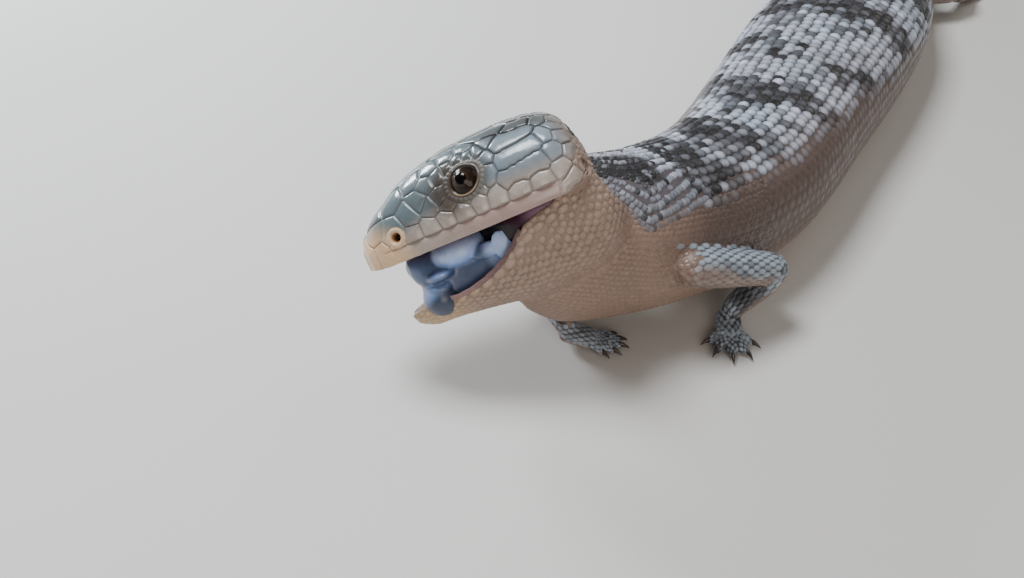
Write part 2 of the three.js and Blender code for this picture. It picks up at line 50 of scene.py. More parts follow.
# Body: x, y, z of the spine, half width, height above and below it, and roll in degrees at each station
BODY = np.array([
    [-140, 33, 34, 12, 9, 12, 20],
    [-136.5, 29.5, 34, 18, 15.5, 19, 18],
    [-129, 23, 33, 20.5, 20, 23.5, 14],
    [-119, 16, 29.5, 21.5, 21, 23, 8],
    [-105, 8, 26, 22.8, 21.5, 21.5, 3],
    [-84, 0.5, 23.3, 24.5, 21, 21.5, 0],
    [-55, -3.6, 21.3, 26.2, 20.8, 21.6, 0],
    [-15, -2.6, 20.8, 28, 21.3, 21.3, 0],
    [34, -1, 20.3, 30.5, 21.6, 20.8, 0],
    [76, 0, 18.8, 29, 20.3, 19.2, 0],
    [106, 1, 16.8, 23, 18, 17.2, 0],
    [132, 2.5, 14.6, 18.5, 15.5, 14.9, 0],
    [165, 6.5, 12.6, 15.6, 13.2, 12.8, 0],
    [200, 13, 10.3, 12.4, 10.6, 10.5, 0],
    [232, 21.5, 7.9, 9.2, 8, 8.1, 0],
    [262, 32.5, 5.4, 6, 5.4, 5.6, 0],
    [286, 43.5, 3.2, 3.2, 3, 3.4, 0],
    [301, 51.5, 1.5, 1.2, 1.2, 1.6, 0],
])
BODY_POWER = 2 / 2.25
LAST_STATION = len(BODY) - 1

# Head: distance ahead of the mouth corners, half width and height over the lip line
HEAD = np.array([
    [-9.5, 9, 8], [-8.6, 14, 12.4], [-6.5, 18, 15.6], [-3, 20.2, 17.8], [1, 20.8, 18.9], [8, 20.2, 19.6],
    [16, 18.4, 19.7], [24, 16.2, 19.2], [31, 13.9, 17.9], [37, 12, 15.9], [42, 10.2, 13.2], [46, 8.4, 10.7],
    [49.4, 5.4, 7.6], [51, 1.6, 4.6],
])
# Lower jaw: distance ahead, half width, drop of the lip and depth
JAW = np.array([
    [-8.5, 14, 0, 19], [-3, 18.6, -0.2, 23], [4, 19.6, -0.8, 23.8], [12, 18.6, -1.3, 22.5],
    [16.5, 17.7, 0.6, 21.1], [20, 16.8, 2.2, 19.5], [28, 14.4, 3.4, 15.2], [35, 11.8, 2.9, 11.6],
    [41, 9, 0.9, 9], [46, 6.2, -0.5, 7.2], [49.5, 2.6, -0.7, 4.4],
])
HEAD_PLACE = (-131, 22, 50)
HEAD_HEADING, HEAD_PITCH, HEAD_ROLL = 135.4, 20, 28.5
GAPE = 17
PALATE_ARCH = 2.4
JAW_FLOOR = 3.0
COAT_DEPTH = 0.45
EYE_AHEAD, EYE_TURN, EYE_SUNK, EYE_RADIUS = 20.4, 35.5, -2.7, 4.3
EYE_LONG, EYE_TALL, EYE_TILT = 3.9, 2.8, -28
EYE_ARC = 0.29  # millimetres of skin to a degree of turn, near the eye
NOSTRIL_AHEAD, NOSTRIL_TURN = 41.3, 22
EAR_AHEAD, EAR_TURN = -7.4, 9

# Legs: shoulder, elbow, wrist, the middle toe's heading, how far the toes fan and the leg's thickness
LEGS = {
    "foreleg_left": ([[-122, -8.8, 29], [-93, -28.5, 17.5], [-103, -19, 5.2]], 208, 1.0, 1.0),
    "foreleg_right": ([[-99, 24, 14], [-117, 36, 9], [-131.5, 16.5, 5]], 288, 0.6, 1.0),
    "hindleg_left": ([[124, -8, 15], [141, -26, 12], [159, -28, 5.4]], 350, 0.8, 1.15),
    "hindleg_right": ([[122, 13, 15], [113, 35, 13], [131, 41, 5.4]], 118, 1.0, 1.15),
}
UPPER_RADII = [5.8, 5.8, 5.3, 4.7]
LOWER_RADII = [4.7, 4.7, 4.0, 3.3]
PALM_RADII = [3.6, 4.1, 4.4]
PALM_LENGTH, PALM_FLAT, PALM_HEIGHT = 8.5, 0.62, 2.0
HEEL_REACH, HEEL_HEIGHT = 3.2, 3.7
KNUCKLE_BACK, KNUCKLE_OUT, KNUCKLE_HEIGHT = 3.4, 2.6, 1.7
TOE_SPREAD = [-62, -30, 0, 28, 58]
TOE_LENGTHS = [4.6, 6.6, 7.8, 7.2, 5.2]
TOE_RADIUS = 1.5
TOE_SHRINK = -0.15  # the toes' share of the coat's depth, since the remesh already thins them
CLAW_LENGTH = 2.3


def unit(v):
    return v / np.maximum(np.linalg.norm(v, axis=-1, keepdims=True), 1e-9)


def power(value, exponent):
    return np.sign(value) * np.abs(value) ** exponent


def smoothstep(low, high, value):
    t = np.clip((value - low) / (high - low), 0, 1)
    return t * t * (3 - 2 * t)


def mix(a, b, share):
    share = np.asarray(share)[..., None]
    return a * (1 - share) + b * share


def table_at(table, row):
    """The table's columns at fractional row numbers, smooth and never past the rows on both sides."""
    row = np.asarray(row, float)
    last = len(table) - 1
    i = np.clip(np.floor(row).astype(int), 0, last - 1)
    t = (row - i)[..., None]
    a, b, c, d = (table[np.clip(i + step, 0, last)] for step in (-1, 0, 1, 2))
    ta, tb = (c - a) / 2, (d - b) / 2
    value = b + ta * t + (3 * (c - b) - 2 * ta - tb) * t**2 + (2 * (b - c) + ta + tb) * t**3
    return np.clip(value, np.minimum(b, c), np.maximum(b, c))


def at_distance(table, x):
    return table_at(table, np.interp(x, table[:, 0], np.arange(len(table))))


HASH_FACTORS = np.array([73856093, 19349663, 83492791])  # primes that scatter neighbouring cells
HASH_SPREAD = 1274126177
HASH_STEPS = 65536


def noise(points, size, seed=0):
    """Smooth random values from about -1 to 1, in lumps of this size."""
    q = np.asarray(points) / size + seed * 17.31
    cell = np.floor(q).astype(np.int64)
    f = q - cell
    f = f * f * (3 - 2 * f)
    total = np.zeros(q.shape[:-1])
    for corner in range(8):
        step = np.array([corner & 1, corner >> 1 & 1, corner >> 2])
        h = np.bitwise_xor.reduce((cell + step) * HASH_FACTORS, axis=-1)
        h = (h ^ (h >> 13)) * HASH_SPREAD & 0x7FFFFFFF
        value = (h ^ (h >> 16)) % HASH_STEPS / (HASH_STEPS / 2) - 1
        total += value * np.prod(np.where(step, f, 1 - f), axis=-1)
    return total


def ridge(distance, width, sharp=2):
    """1 at no distance, and nearly 0 at twice the width."""
    return np.exp(-((distance / width) ** sharp))


def both_sides(turn):
    """The turn on the animal's left and the same place on its right."""
    return turn, 180 - turn


def circle(sides):
    return np.linspace(0, 2 * np.pi, sides, endpoint=False)


def turned(axis, degrees):
    return np.array(Matrix.Rotation(math.radians(degrees), 3, axis))


HEAD_TURN = turned("Z", HEAD_HEADING) @ turned("Y", HEAD_PITCH) @ turned("X", HEAD_ROLL)
JAW_TURN = HEAD_TURN @ turned("Y", GAPE)


def from_head(points):
    return points @ HEAD_TURN.T + HEAD_PLACE


def from_jaw(points):
    return points @ JAW_TURN.T + HEAD_PLACE


def to_head(points):
    return (points - HEAD_PLACE) @ HEAD_TURN


def to_jaw(points):
    return (points - HEAD_PLACE) @ JAW_TURN


# Surfaces, each with a distance along it and a turn round it in degrees, raised by a lift
def body_frame(station):
    station = np.asarray(station, float)
    here = table_at(BODY, station)
    ahead = table_at(BODY, np.clip(station - 0.05, 0, LAST_STATION))
    behind = table_at(BODY, np.clip(station + 0.05, 0, LAST_STATION))
    forward = unit((ahead - behind)[..., :3])
    left = unit(np.cross(UP, forward))
    roll = np.radians(here[..., 6])[..., None]
    left = left * np.cos(roll) + np.cross(forward, left) * np.sin(roll)
    return here, forward, left, np.cross(forward, left)


def body_point(station, turn, lift=0.0):
    here, _, left, up = body_frame(station)
    a = np.radians(turn)
    side = power(np.cos(a), BODY_POWER) * (here[..., 3] + lift)
    high = np.where(np.sin(a) > 0, here[..., 4], here[..., 5])
    rise = power(np.sin(a), BODY_POWER) * (high + lift)
    return here[..., :3] + left * side[..., None] + up * rise[..., None]


def head_base(x, turn):
    here = at_distance(HEAD, x)
    a = np.radians(turn)
    side = power(np.cos(a), 0.8) * here[..., 1]
    arch = np.minimum(PALATE_ARCH, here[..., 2] * 0.3)
    rise = np.where(np.sin(a) >= 0, np.abs(np.sin(a)) ** 0.85 * here[..., 2], arch * np.sin(a) ** 2)
    return np.stack([x + 0 * a, side, rise], -1)


def jaw_base(x, turn):
    here = at_distance(JAW, x)
    a = np.radians(turn)
    depth = here[..., 3] - here[..., 2]
    floor = np.minimum(JAW_FLOOR, depth * 0.35)
    side = power(np.cos(a), 0.8) * here[..., 1]
    under = np.where(np.sin(a) >= 0, np.abs(np.sin(a)) ** 0.9 * depth, floor * np.sin(a) ** 2)
    return np.stack([x + 0 * a, side, -here[..., 2] - under], -1)


def outward(base, x, turn):
    """The direction straight out of the head or the jaw."""
    table, sign = (JAW, -1) if base is jaw_base else (HEAD, 1)
    low, high = table[[0, -1], 0]
    along = base(np.clip(x + 0.2, low, high), turn) - base(np.clip(x - 0.2, low, high), turn)
    around = base(x, turn + 1.5) - base(x, turn - 1.5)
    return unit(sign * np.cross(around, along))


def lifted(base, x, turn, lift):
    x, turn = np.broadcast_arrays(np.asarray(x, float), np.asarray(turn, float))
    return base(x, turn) + outward(base, x, turn) * np.asarray(lift)[..., None]


def head_point(x, turn, lift=0.0):
    return lifted(head_base, x, turn, lift)


def jaw_point(x, turn, lift=0.0):
    return lifted(jaw_base, x, turn, lift)


# Meshes
def make_piece(name, points, faces, tint=None, patch=None):
    """A mesh object from points in millimetres, arrays of faces, colours at the points and bake places."""
    mesh = bpy.data.meshes.new(name)
    loops = np.concatenate([f.ravel() for f in faces]).astype(np.int32)
    totals = np.concatenate([np.full(len(f), f.shape[1]) for f in faces])
    starts = np.concatenate([[0], np.cumsum(totals)[:-1]]).astype(np.int32)
    mesh.vertices.add(len(points))
    mesh.vertices.foreach_set("co", (points * MM).astype(np.float32).ravel())
    mesh.loops.add(len(loops))
    mesh.loops.foreach_set("vertex_index", loops)
    mesh.polygons.add(len(starts))
    mesh.polygons.foreach_set("loop_start", starts)
    mesh.polygons.foreach_set("use_smooth", np.ones(len(starts), bool))
    mesh.update(calc_edges=True)
    mesh.validate()
    if patch is not None:
        layer = mesh.uv_layers.new(name="OFBake")
        layer.data.foreach_set("uv", patch[loops].astype(np.float32).ravel())
    if tint is not None:
        paint(mesh, tint)
    piece = bpy.data.objects.new(name, mesh)
    bpy.context.scene.collection.objects.link(piece)
    return piece


def paint(mesh, tint):
    """Writes a colour to each point, and with it how glossy the point is where a fourth value is given."""
    if tint.shape[1] == 3:
        tint = np.concatenate([tint, np.ones((len(tint), 1))], axis=1)
    layer = mesh.color_attributes.new(name="tint", type="FLOAT_COLOR", domain="POINT")
    layer.data.foreach_set("color", np.clip(tint, 0, 1).astype(np.float32).ravel())


def loft_faces(rows, sides):
    index = np.arange(rows * sides).reshape(rows, sides)
    after = np.roll(index, -1, axis=1)
    walls = np.stack([index[:-1], after[:-1], after[1:], index[1:]], -1).reshape(-1, 4)
    return [walls, index[0][None, ::-1], index[-1][None, :]]


def loft(rings):
    """Points and faces of a closed form through rings of points, with its faces looking out."""
    rows, sides = rings.shape[:2]
    points = rings.reshape(-1, 3)
    faces = loft_faces(rows, sides)
    a, b, c = (points[faces[0][:, k]] - points.mean(0) for k in (0, 1, 2))
    if (a * np.cross(b, c)).sum() < 0:
        faces = [f[:, ::-1] for f in faces]
    return points, faces


def joined(forms):
    points, faces, first = [], [], 0
    for form_points, form_faces in forms:
        points.append(form_points)
        faces += [f + first for f in form_faces]
        first += len(form_points)
    return np.concatenate(points), faces


def fused(name, forms, voxel, smoothing):
    """One closed skin round overlapping forms, softened where they meet."""
    points, faces = joined(forms)
    piece = make_piece(name, points, faces)
    remesh = piece.modifiers.new("remesh", "REMESH")
    remesh.mode = "VOXEL"
    remesh.voxel_size = voxel * MM
    smooth = piece.modifiers.new("smooth", "SMOOTH")
    smooth.factor = 0.5
    smooth.iterations = smoothing
    applied(piece)
    piece.data.polygons.foreach_set("use_smooth", np.ones(len(piece.data.polygons), bool))
    return piece


def applied(piece):
    evaluated = piece.evaluated_get(bpy.context.evaluated_depsgraph_get())
    mesh = bpy.data.meshes.new_from_object(evaluated)
    piece.modifiers.clear()
    piece.data = mesh


def points_of(piece):
    co = np.zeros(len(piece.data.vertices) * 3, np.float32)
    piece.data.vertices.foreach_get("co", co)
    return co.reshape(-1, 3).astype(float) / MM


def set_points(piece, points):
    piece.data.vertices.foreach_set("co", (points * MM).astype(np.float32).ravel())
    piece.data.update()


# Limbs
def heading(degrees):
    return np.array([math.cos(math.radians(degrees)), math.sin(math.radians(degrees)), 0.0])


def tube(centre, side, up, wide, tall, sides):
    """Oval rings round a line of centres."""
    a = circle(sides)
    across = side * (np.cos(a)[None, :, None] * wide[:, None, None])
    return centre[:, None] + across + up * (np.sin(a)[None, :, None] * tall[:, None, None])


def bar_axes(start, end):
    axis = unit(end - start)
    side = unit(np.cross(UP, axis))
    return axis, side, np.cross(axis, side)


def limb_bar(start, end, radii, grow=0.0, flat=1.0):
    axis, side, up = bar_axes(start, end)
    t = np.linspace(0, 1, 15)
    radius = np.interp(t, np.linspace(0, 1, len(radii)), radii)
    cap = np.sqrt(np.maximum(0.04, 1 - (2 * t - 1) ** 8))
    middle = start + axis * (t * (np.linalg.norm(end - start) + 2 * grow) - grow)[:, None]
    return loft(tube(middle, side, up, radius * cap + grow, radius * cap * flat + grow, 20))


def toe_arch(knuckle, direction, length, t):
    t = np.atleast_1d(t)
    place = knuckle + direction * (t * length)[:, None]
    place[:, 2] = knuckle[2] + (1.1 - knuckle[2]) * t + np.sin(np.pi * np.clip(t, 0, 1)) * 0.5
    return place


def leg_parts(joints, toes, fan, thick):
    """A leg's bars as start, end, radii and flatness, and its toes as knuckle, direction and length."""
    root, bend, wrist = (np.array(p, float) for p in joints)
    ahead = heading(toes)
    palm_start = wrist - ahead * HEEL_REACH * thick
    palm_start[2] = HEEL_HEIGHT
    palm_end = wrist + ahead * PALM_LENGTH * thick
    palm_end[2] = PALM_HEIGHT
    bars = [
        (root, bend + (bend - root) * 0.08, np.array(UPPER_RADII) * thick, 1.0),
        (bend + (bend - wrist) * 0.1, wrist + (wrist - bend) * 0.10, np.array(LOWER_RADII) * thick, 1.0),
        (palm_start, palm_end, np.array(PALM_RADII) * thick, PALM_FLAT),
    ]
    digits = []
    for spread, length in zip(TOE_SPREAD, TOE_LENGTHS):
        direction = heading(toes + spread * fan)
        knuckle = palm_end - ahead * KNUCKLE_BACK * thick + direction * KNUCKLE_OUT * thick
        knuckle[2] = KNUCKLE_HEIGHT
        digits.append((knuckle, direction, length * thick))
    return bars, digits


def toe_side(direction):
    return np.array([-direction[1], direction[0], 0.0])


def toe_loft(knuckle, direction, length, grow):
    t = np.linspace(-0.25, 1, 9)
    knob = 1 + 0.10 * np.cos(t * 4 * np.pi)
    radius = TOE_RADIUS * (1 - 0.22 * t) * knob * np.sqrt(np.maximum(0.12, 1 - np.clip(t, 0, 1) ** 10)) + grow
    return loft(tube(toe_arch(knuckle, direction, length, t), toe_side(direction), UP, radius, radius, 12))


# Skin: one surface under all the scales
BODY_RINGS, BODY_SIDES = 260, 96


def skin_forms(grow):
    stations = np.linspace(0, LAST_STATION, BODY_RINGS)
    turns = np.linspace(0, 360, BODY_SIDES, endpoint=False)
    forms = [loft(body_point(stations[:, None], turns[None, :], grow))]
    for base, table, place in ((head_base, HEAD, from_head), (jaw_base, JAW, from_jaw)):
        first, last = table[[0, -1], 0]
        x = first + (last - first) * np.sin(np.linspace(0, np.pi / 2, 60))
        rings = base(x[:, None], turns[None, :])
        middle = rings.mean(1, keepdims=True)
        inward = unit(rings - middle)
        forms.append(loft(place(rings + inward * grow)))
    for joints, toes, fan, thick in LEGS.values():
        bars, digits = leg_parts(joints, toes, fan, thick)
        forms += [limb_bar(start, end, radii, grow, flat) for start, end, radii, flat in bars]
        forms += [toe_loft(*digit, grow * TOE_SHRINK) for digit in digits]
    return forms


SKIN_VOXEL, SKIN_SMOOTHING = 0.8, 5
skin = fused("skin", skin_forms(-COAT_DEPTH), SKIN_VOXEL, SKIN_SMOOTHING)
skin_points = points_of(skin)
skin_points[:, 2] = np.maximum(skin_points[:, 2], 0.05)
# Pits for the eyes, nostrils and ears: place, reach and depth
PITS = [
    (EYE_AHEAD, EYE_TURN, 5.4, 4.2), (NOSTRIL_AHEAD, NOSTRIL_TURN, 1.7, 3.0), (EAR_AHEAD, EAR_TURN, 1.8, 3.0),
]
for ahead, turn, reach, depth in PITS:
    for at in both_sides(turn):
        place = head_point(ahead, at)
        inward = from_head(head_point(ahead, at, -depth)) - from_head(place)
        near = np.linalg.norm(skin_points - from_head(place), axis=1) / reach
        skin_points += inward * smoothstep(1.3, 0.9, near)[:, None]
set_points(skin, skin_points)
faces_of_skin = [tuple(p.vertices) for p in skin.data.polygons]
tree = BVHTree.FromPolygons([Vector(p) for p in skin_points], faces_of_skin)

# The spine, to tell where on the body any point lies
SPINE_STEPS = 900
BATCH = 20000  # points that are set against the spine at a time
SPINE_STATIONS = np.linspace(0, LAST_STATION, SPINE_STEPS)
SPINE = body_frame(SPINE_STATIONS)
SPINE_PLACE = SPINE[0][:, :3]
SPINE_LENGTH = np.concatenate([[0], np.cumsum(np.linalg.norm(np.diff(SPINE_PLACE, axis=0), axis=1))])


def on_body(points):
    """The station and the turn round the spine nearest each point."""
    nearest = np.zeros(len(points), int)
    for first in range(0, len(points), BATCH):
        some = points[first:first + BATCH]
        distance = ((some[:, None] - SPINE_PLACE[None]) ** 2).sum(-1)
        nearest[first:first + BATCH] = distance.argmin(1)
    arm = points - SPINE_PLACE[nearest]
    side = (arm * SPINE[2][nearest]).sum(-1)
    rise = (arm * SPINE[3][nearest]).sum(-1)
    return SPINE_STATIONS[nearest], np.degrees(np.arctan2(rise, side))


def colour(hexes):
    """A linear colour from the usual six digits."""
    value = np.array([int(hexes[i:i + 2], 16) for i in (0, 2, 4)]) / 255
    return np.where(value <= 0.04045, value / 12.92, ((value + 0.055) / 1.055) ** 2.4)


PALE = colour("B6C2D0")
GREY = colour("8A8A92")
DARK = colour("1F1C1E")
GAP_DARK = colour("231F21")
FLANK = colour("57463F")
LILAC = colour("A69CA6")
THROAT = colour("8F7668")
BELLY = colour("A08A7B")
CHEEK = colour("9C8474")
HEAD_TOP = colour("5A666A")
SNOUT = colour("D0AF8A")
SILVER = colour("76828A")
LIP = colour("A4988F")
LINE = colour("161416")
BROWN = colour("463A31")
PINK = colour("8A5258")
MAUVE = colour("86687E")
PURPLE = colour("35182A")
# A near black painted as shade in the ear openings, deep in the mouth and in the throat
CAVITY_SHADE = colour("0C0508")

# Stations of the dark bars over the back and tail, and how far each bar reaches along the spine
BARS = np.array([
    4.5, 5.45, 6.36, 7.2, 7.95, 8.7, 9.35, 10.0, 10.7, 11.4, 12.0, 12.6, 13.2, 13.8, 14.4, 15.0, 15.6, 16.2,
])
BAR_REACH = 10.0
# Turn of the line between the patterned back and the plain lower flank, by station
BORDER_STATIONS = [0, 1.5, 2, 3.1, 4, 5, 6, 7, 7.6, 9, 11, 17]
BORDER_TURNS = [75, 62, 52, 12, 34, 52, 47, 34, 20, 10, 0, -10]


def spine_length(station):
    return np.interp(station, SPINE_STATIONS, SPINE_LENGTH)


def from_crest(station, turn):
    """Degrees down from the crest on either side. Over the neck the crest leans away from the head's turn."""
    crest = 92 + 11 * smoothstep(4.6, 3.2, station)
    return np.abs((turn - crest + 180) % 360 - 180)


def border_at(station):
    return 90 - np.interp(station, BORDER_STATIONS, BORDER_TURNS)


def dark_share(station, turn, points):
    """How dark the pattern is, from 0 to 1."""
    down = from_crest(station, turn)
    along = spine_length(station) + 7.0 * noise(points, 19, 1) + 4.0 * noise(points, 7, 2)
    along = along - 0.06 * (down - 45)
    distance = np.abs(along[..., None] - spine_length(BARS)).min(-1)
    reach = BAR_REACH * (1 - 0.35 * smoothstep(10, 16, station)) * (0.92 + 0.55 * noise(points, 20, 3))
    bar = smoothstep(2.0, -1.5, distance - reach)
    bar *= 1 - 0.85 * smoothstep(0.22, 0.5, noise(points, 7, 4))
    spots = smoothstep(0.28, 0.5, noise(points, 6, 14)) * smoothstep(48, 25, down)
    bar = np.maximum(bar, 0.85 * spots)
    nape_edge = 3 * noise(points, 5, 5)
    nape = smoothstep(0.9, 1.2, station) * smoothstep(3.85, 3.6, station)
    nape = nape * smoothstep(5, 7, down + 0.4 * nape_edge) * smoothstep(41, 37, down + nape_edge)
    bar = np.where(station < 4.05, nape, bar)
    return bar * smoothstep(8, -10, down - border_at(station) - 8)


def skin_colour(station, turn, points):
    down = from_crest(station, turn)
    side = smoothstep(-14, 10, down - border_at(station))
    dark = dark_share(station, turn, points)
    light_gap = mix(GAP_DARK * 4.5, GAP_DARK * 1.5, smoothstep(3.6, 4.6, station))
    back = mix(light_gap, GAP_DARK, dark)
    low = mix(FLANK, BELLY, smoothstep(95, 140, down))
    low = mix(low, THROAT, smoothstep(4.4, 3.2, station))
    return mix(back, low, side) * (1 + 0.08 * noise(points, 4, 6))[..., None]


def settle(points):
    """The nearest place and direction on the skin for each point."""
    flat = points.reshape(-1, 3)
    place = np.empty_like(flat)
    direction = np.empty_like(flat)
    for i, p in enumerate(flat):
        hit = tree.find_nearest(p)
        place[i] = hit[0]
        direction[i] = hit[1]
    return place.reshape(points.shape), direction.reshape(points.shape)


# Scales: a round plate on a squashed grid, raised towards its free edge
def plate_form(steps):
    u, v = np.meshgrid(steps, steps, indexing="ij")
    p = (u * np.sqrt(1 - v**2 / 2)).ravel()
    q = (v * np.sqrt(1 - u**2 / 2)).ravel()
    n = len(steps)
    index = np.arange(n * n).reshape(n, n)
    top = np.stack([index[:-1, :-1], index[:-1, 1:], index[1:, 1:], index[1:, :-1]], -1).reshape(-1, 4)
    rim = np.concatenate([index[:, 0], index[-1, 1:], index[-2::-1, -1], index[0, -2:0:-1]])
    return p, q, top, rim[None]


FINE_PLATE = plate_form(np.array([-1, -0.87, -0.5, 0, 0.5, 0.87, 1]))
PLAIN_PLATE = plate_form(np.array([-1, -0.84, -0.35, 0.35, 0.84, 1]))
PATCH = 0.0015  # half the bake patch of one scale


class Scales:
    """Rows of scales, gathered into one joined mesh."""

    def __init__(self, name, form):
        self.name, self.form = name, form
        self.reach = 1.1  # how far from the skin a root may lie
        self.rows = []
        self.laid = None

    def add(self, root, along, length, width, height, face, rim, unwrap, dome=0.3, tilt=0.7):
        count = len(root)
        row = [np.broadcast_to(np.asarray(v, float), (count,)) for v in (length, width, height, dome, tilt)]
        self.rows.append((root, along, *row, face, rim, unwrap))

    def build(self):
        root, *rest = (np.concatenate(parts) for parts in zip(*self.rows))
        on_skin, normal = settle(root)
        near = np.linalg.norm(on_skin - root, axis=-1) < self.reach
        on_skin, normal = on_skin[near], normal[near]
        along, length, width, height, dome, tilt, face, rim, unwrap = (v[near] for v in rest)
        along = unit(along - normal * (along * normal).sum(-1, keepdims=True))
        across = np.cross(normal, along)
        p, q, top, under = self.form
        r = np.sqrt(p**2 + q**2)
        flat = (on_skin[:, None] + along[:, None] * (q[None, :, None] * length[:, None, None] / 2)
                + across[:, None] * (p[None, :, None] * width[:, None, None] / 2))
        base, _ = settle(flat)
        good = ~(np.linalg.norm(base - flat, axis=-1).max(1) > 0.45 * width + 0.5)
        laid = (v[good] for v in (on_skin, along, width, face, rim, unwrap))
        self.laid = on_skin, along, width, face, rim, unwrap = tuple(laid)
        base, normal, height, dome, tilt = (v[good] for v in (base, normal, height, dome, tilt))
        slope = 1 - tilt[:, None] * (1 - q[None]) / 2
        crown = slope * (1 - dome[:, None] * p[None] ** 2) * (1 - r[None] ** 7)
        rise = height[:, None] * crown - 0.30 * r[None] ** 9
        points = base + normal[:, None] * rise[..., None]
        count, size = points.shape[:2]
        # Painted shade: towards its edge each scale turns to its darker rim colour, for the shade in the gaps
        # between scales
        edge = smoothstep(0.32, 0.88, r)[None] * np.ones((count, 1))
        # Painted shading: lighter towards the raised free edge and darker towards the tucked base
        shade = 1 + 0.10 * (q[None] - 0.2) * np.ones((count, 1))
        tint = mix(face[:, None], rim[:, None], edge) * shade[..., None]
        tint = np.concatenate([tint, 1 - 0.8 * edge[..., None]], -1)
        points[..., 2] = np.maximum(points[..., 2], 0.02)
        uv = unwrap[:, None] + PATCH * np.stack([q, p], -1)[None]
        first = (np.arange(count) * size)[:, None, None]
        faces = [(f[None] + first).reshape(-1, f.shape[1]) for f in (top, under)]
        return make_piece(self.name, points.reshape(-1, 3), faces, tint.reshape(-1, 4), uv.reshape(-1, 2))


def unwrap_body(station, turn):
    """A place on the body's unwrap, in the lower part of the square."""
    along = spine_length(station) / SPINE_LENGTH[-1]
    return np.stack([0.02 + 0.96 * along, 0.02 + 0.50 * ((turn + 90) % 360) / 360], -1)


def even_turns(station, shares):
    """The turns that divide the body's girth into equal lengths, from the belly round over the back."""
    turn = np.linspace(-90, 270, 361)
    ring = body_point(np.full(361, station), turn)
    girth = np.concatenate([[0], np.cumsum(np.linalg.norm(np.diff(ring, axis=0), axis=1))])
    return np.interp(shares * girth[-1], girth, turn), girth[-1]


def body_rows(scales, start, end, columns, pitch, look):
    """Scales in long rows down the body, each row set half a scale on from the one beside it."""
    column = np.arange(columns)
    stations, turns, sizes = [], [], []
    for distance in np.arange(spine_length(start), spine_length(end), pitch):
        along = distance + pitch * (0.5 * (column % 2) + random.normal(0, 0.07, columns))
        station = np.interp(along, SPINE_LENGTH, SPINE_STATIONS)
        turn, girth = even_turns(station[0], (column + random.normal(0, 0.07, columns)) % columns / columns)
        stations.append(station)
        turns.append(turn)
        sizes.append(np.full(columns, girth / columns))
    look(scales, np.concatenate(stations), np.concatenate(turns), np.concatenate(sizes), pitch)


def scale_colours(station, turn, root):
    """Middle colours and darker rim colours (painted shade between scales) of the scales of back and flanks,
    and how much each is of the plain side.
    """
    count = len(root)
    chance = random.random(count)
    dark = dark_share(station, turn, root)
    dark = np.clip(dark + np.where(chance < 0.10, 0.75, 0) - np.where(chance > 0.90, 0.45, 0), 0, 1)
    down = from_crest(station, turn)
    side = smoothstep(-8, 12, down - border_at(station) + 5 * noise(root, 8, 7))
    pale = mix(PALE, LILAC, np.clip(0.4 + 0.5 * noise(root, 14, 8), 0, 1))
    face = mix(pale, mix(DARK, GREY, 0.45 * random.random(count) ** 2), dark)
    # Painted shade: the rims, far darker than the middles, stand for the shade between scales
    rim = mix(pale * 0.24, DARK * 0.5, dark)
    low = mix(FLANK, BELLY, smoothstep(95, 140, down))
    low = mix(low, THROAT, smoothstep(4.4, 3.2, station))
    face = mix(face, low, side)
    rim = mix(rim, low * 0.90, side)
    vary = (1 + (0.17 - 0.13 * side) * random.normal(0, 1, count))[:, None]
    return face * vary, rim * vary, side


def trunk_look(scales, station, turn, size, pitch):
    """Overlapping scales, domed on the back and flat on the flanks and belly."""
    root = body_point(station, turn)
    here, forward = body_frame(station)[:2]
    face, rim, side = scale_colours(station, turn, root)
    vary = 1 + 0.10 * random.normal(0, 1, len(root))
    height = (0.66 - 0.52 * side) * np.clip(size / 3.2, 0.3, 1.1) * vary
    width = size * (1.22 + 0.05 * random.normal(0, 1, len(root)))
    yaw = 0.09 * random.normal(0, 1, (len(root), 1))
    back = -forward + yaw * unit(np.cross(forward, root - here[..., :3]))
    place = unwrap_body(station, turn)
    scales.add(root, back, pitch * 1.42, width, height, face, rim, place, 0.5, 0.8)


NECK_FOLD_STATIONS = [1.2, 2.1, 3.15, 4.1, 5.0]
NECK_FOLD_DIPS = [0, 0, 32, 14, 0]


def folded(station, turn):
    """The turn of a row that dips into the folds at the sides of the neck."""
    dip = np.interp(station, NECK_FOLD_STATIONS, NECK_FOLD_DIPS)
    dip = dip * smoothstep(8, 40, from_crest(station, turn))
    return np.where(turn < 95, turn - dip, turn + dip)


def neck_look(scales, station, turn, size, pitch):
    """Raised ridges of crowded scales beside the neck's crest, where the throat's scales stop."""
    before = station - 0.03
    ahead = body_point(before, folded(before, turn))
    turn = folded(station, turn)
    root = body_point(station, turn)
    plain = from_crest(station, turn) - border_at(station)
    ridged = plain < 4
    station, turn, size, root, ahead = (v[ridged] for v in (station, turn, size, root, ahead))
    face, rim, side = scale_colours(station, turn, root)
    taper = smoothstep(4, -8, plain[ridged])
    # Painted shade: the scales darken down the sides of the neck, away from the crest
    shade = (0.52 + 0.48 * smoothstep(45, 15, from_crest(station, turn)))[:, None]
    height = 0.20 + 0.42 * taper
    width = size * 1.16
    face, rim = face * shade, mix(rim, face, 0.30) * shade
    place = unwrap_body(station, turn)
    scales.add(root, unit(root - ahead), pitch * 2.0, width, height, face, rim, place, 0.6, 0.75)


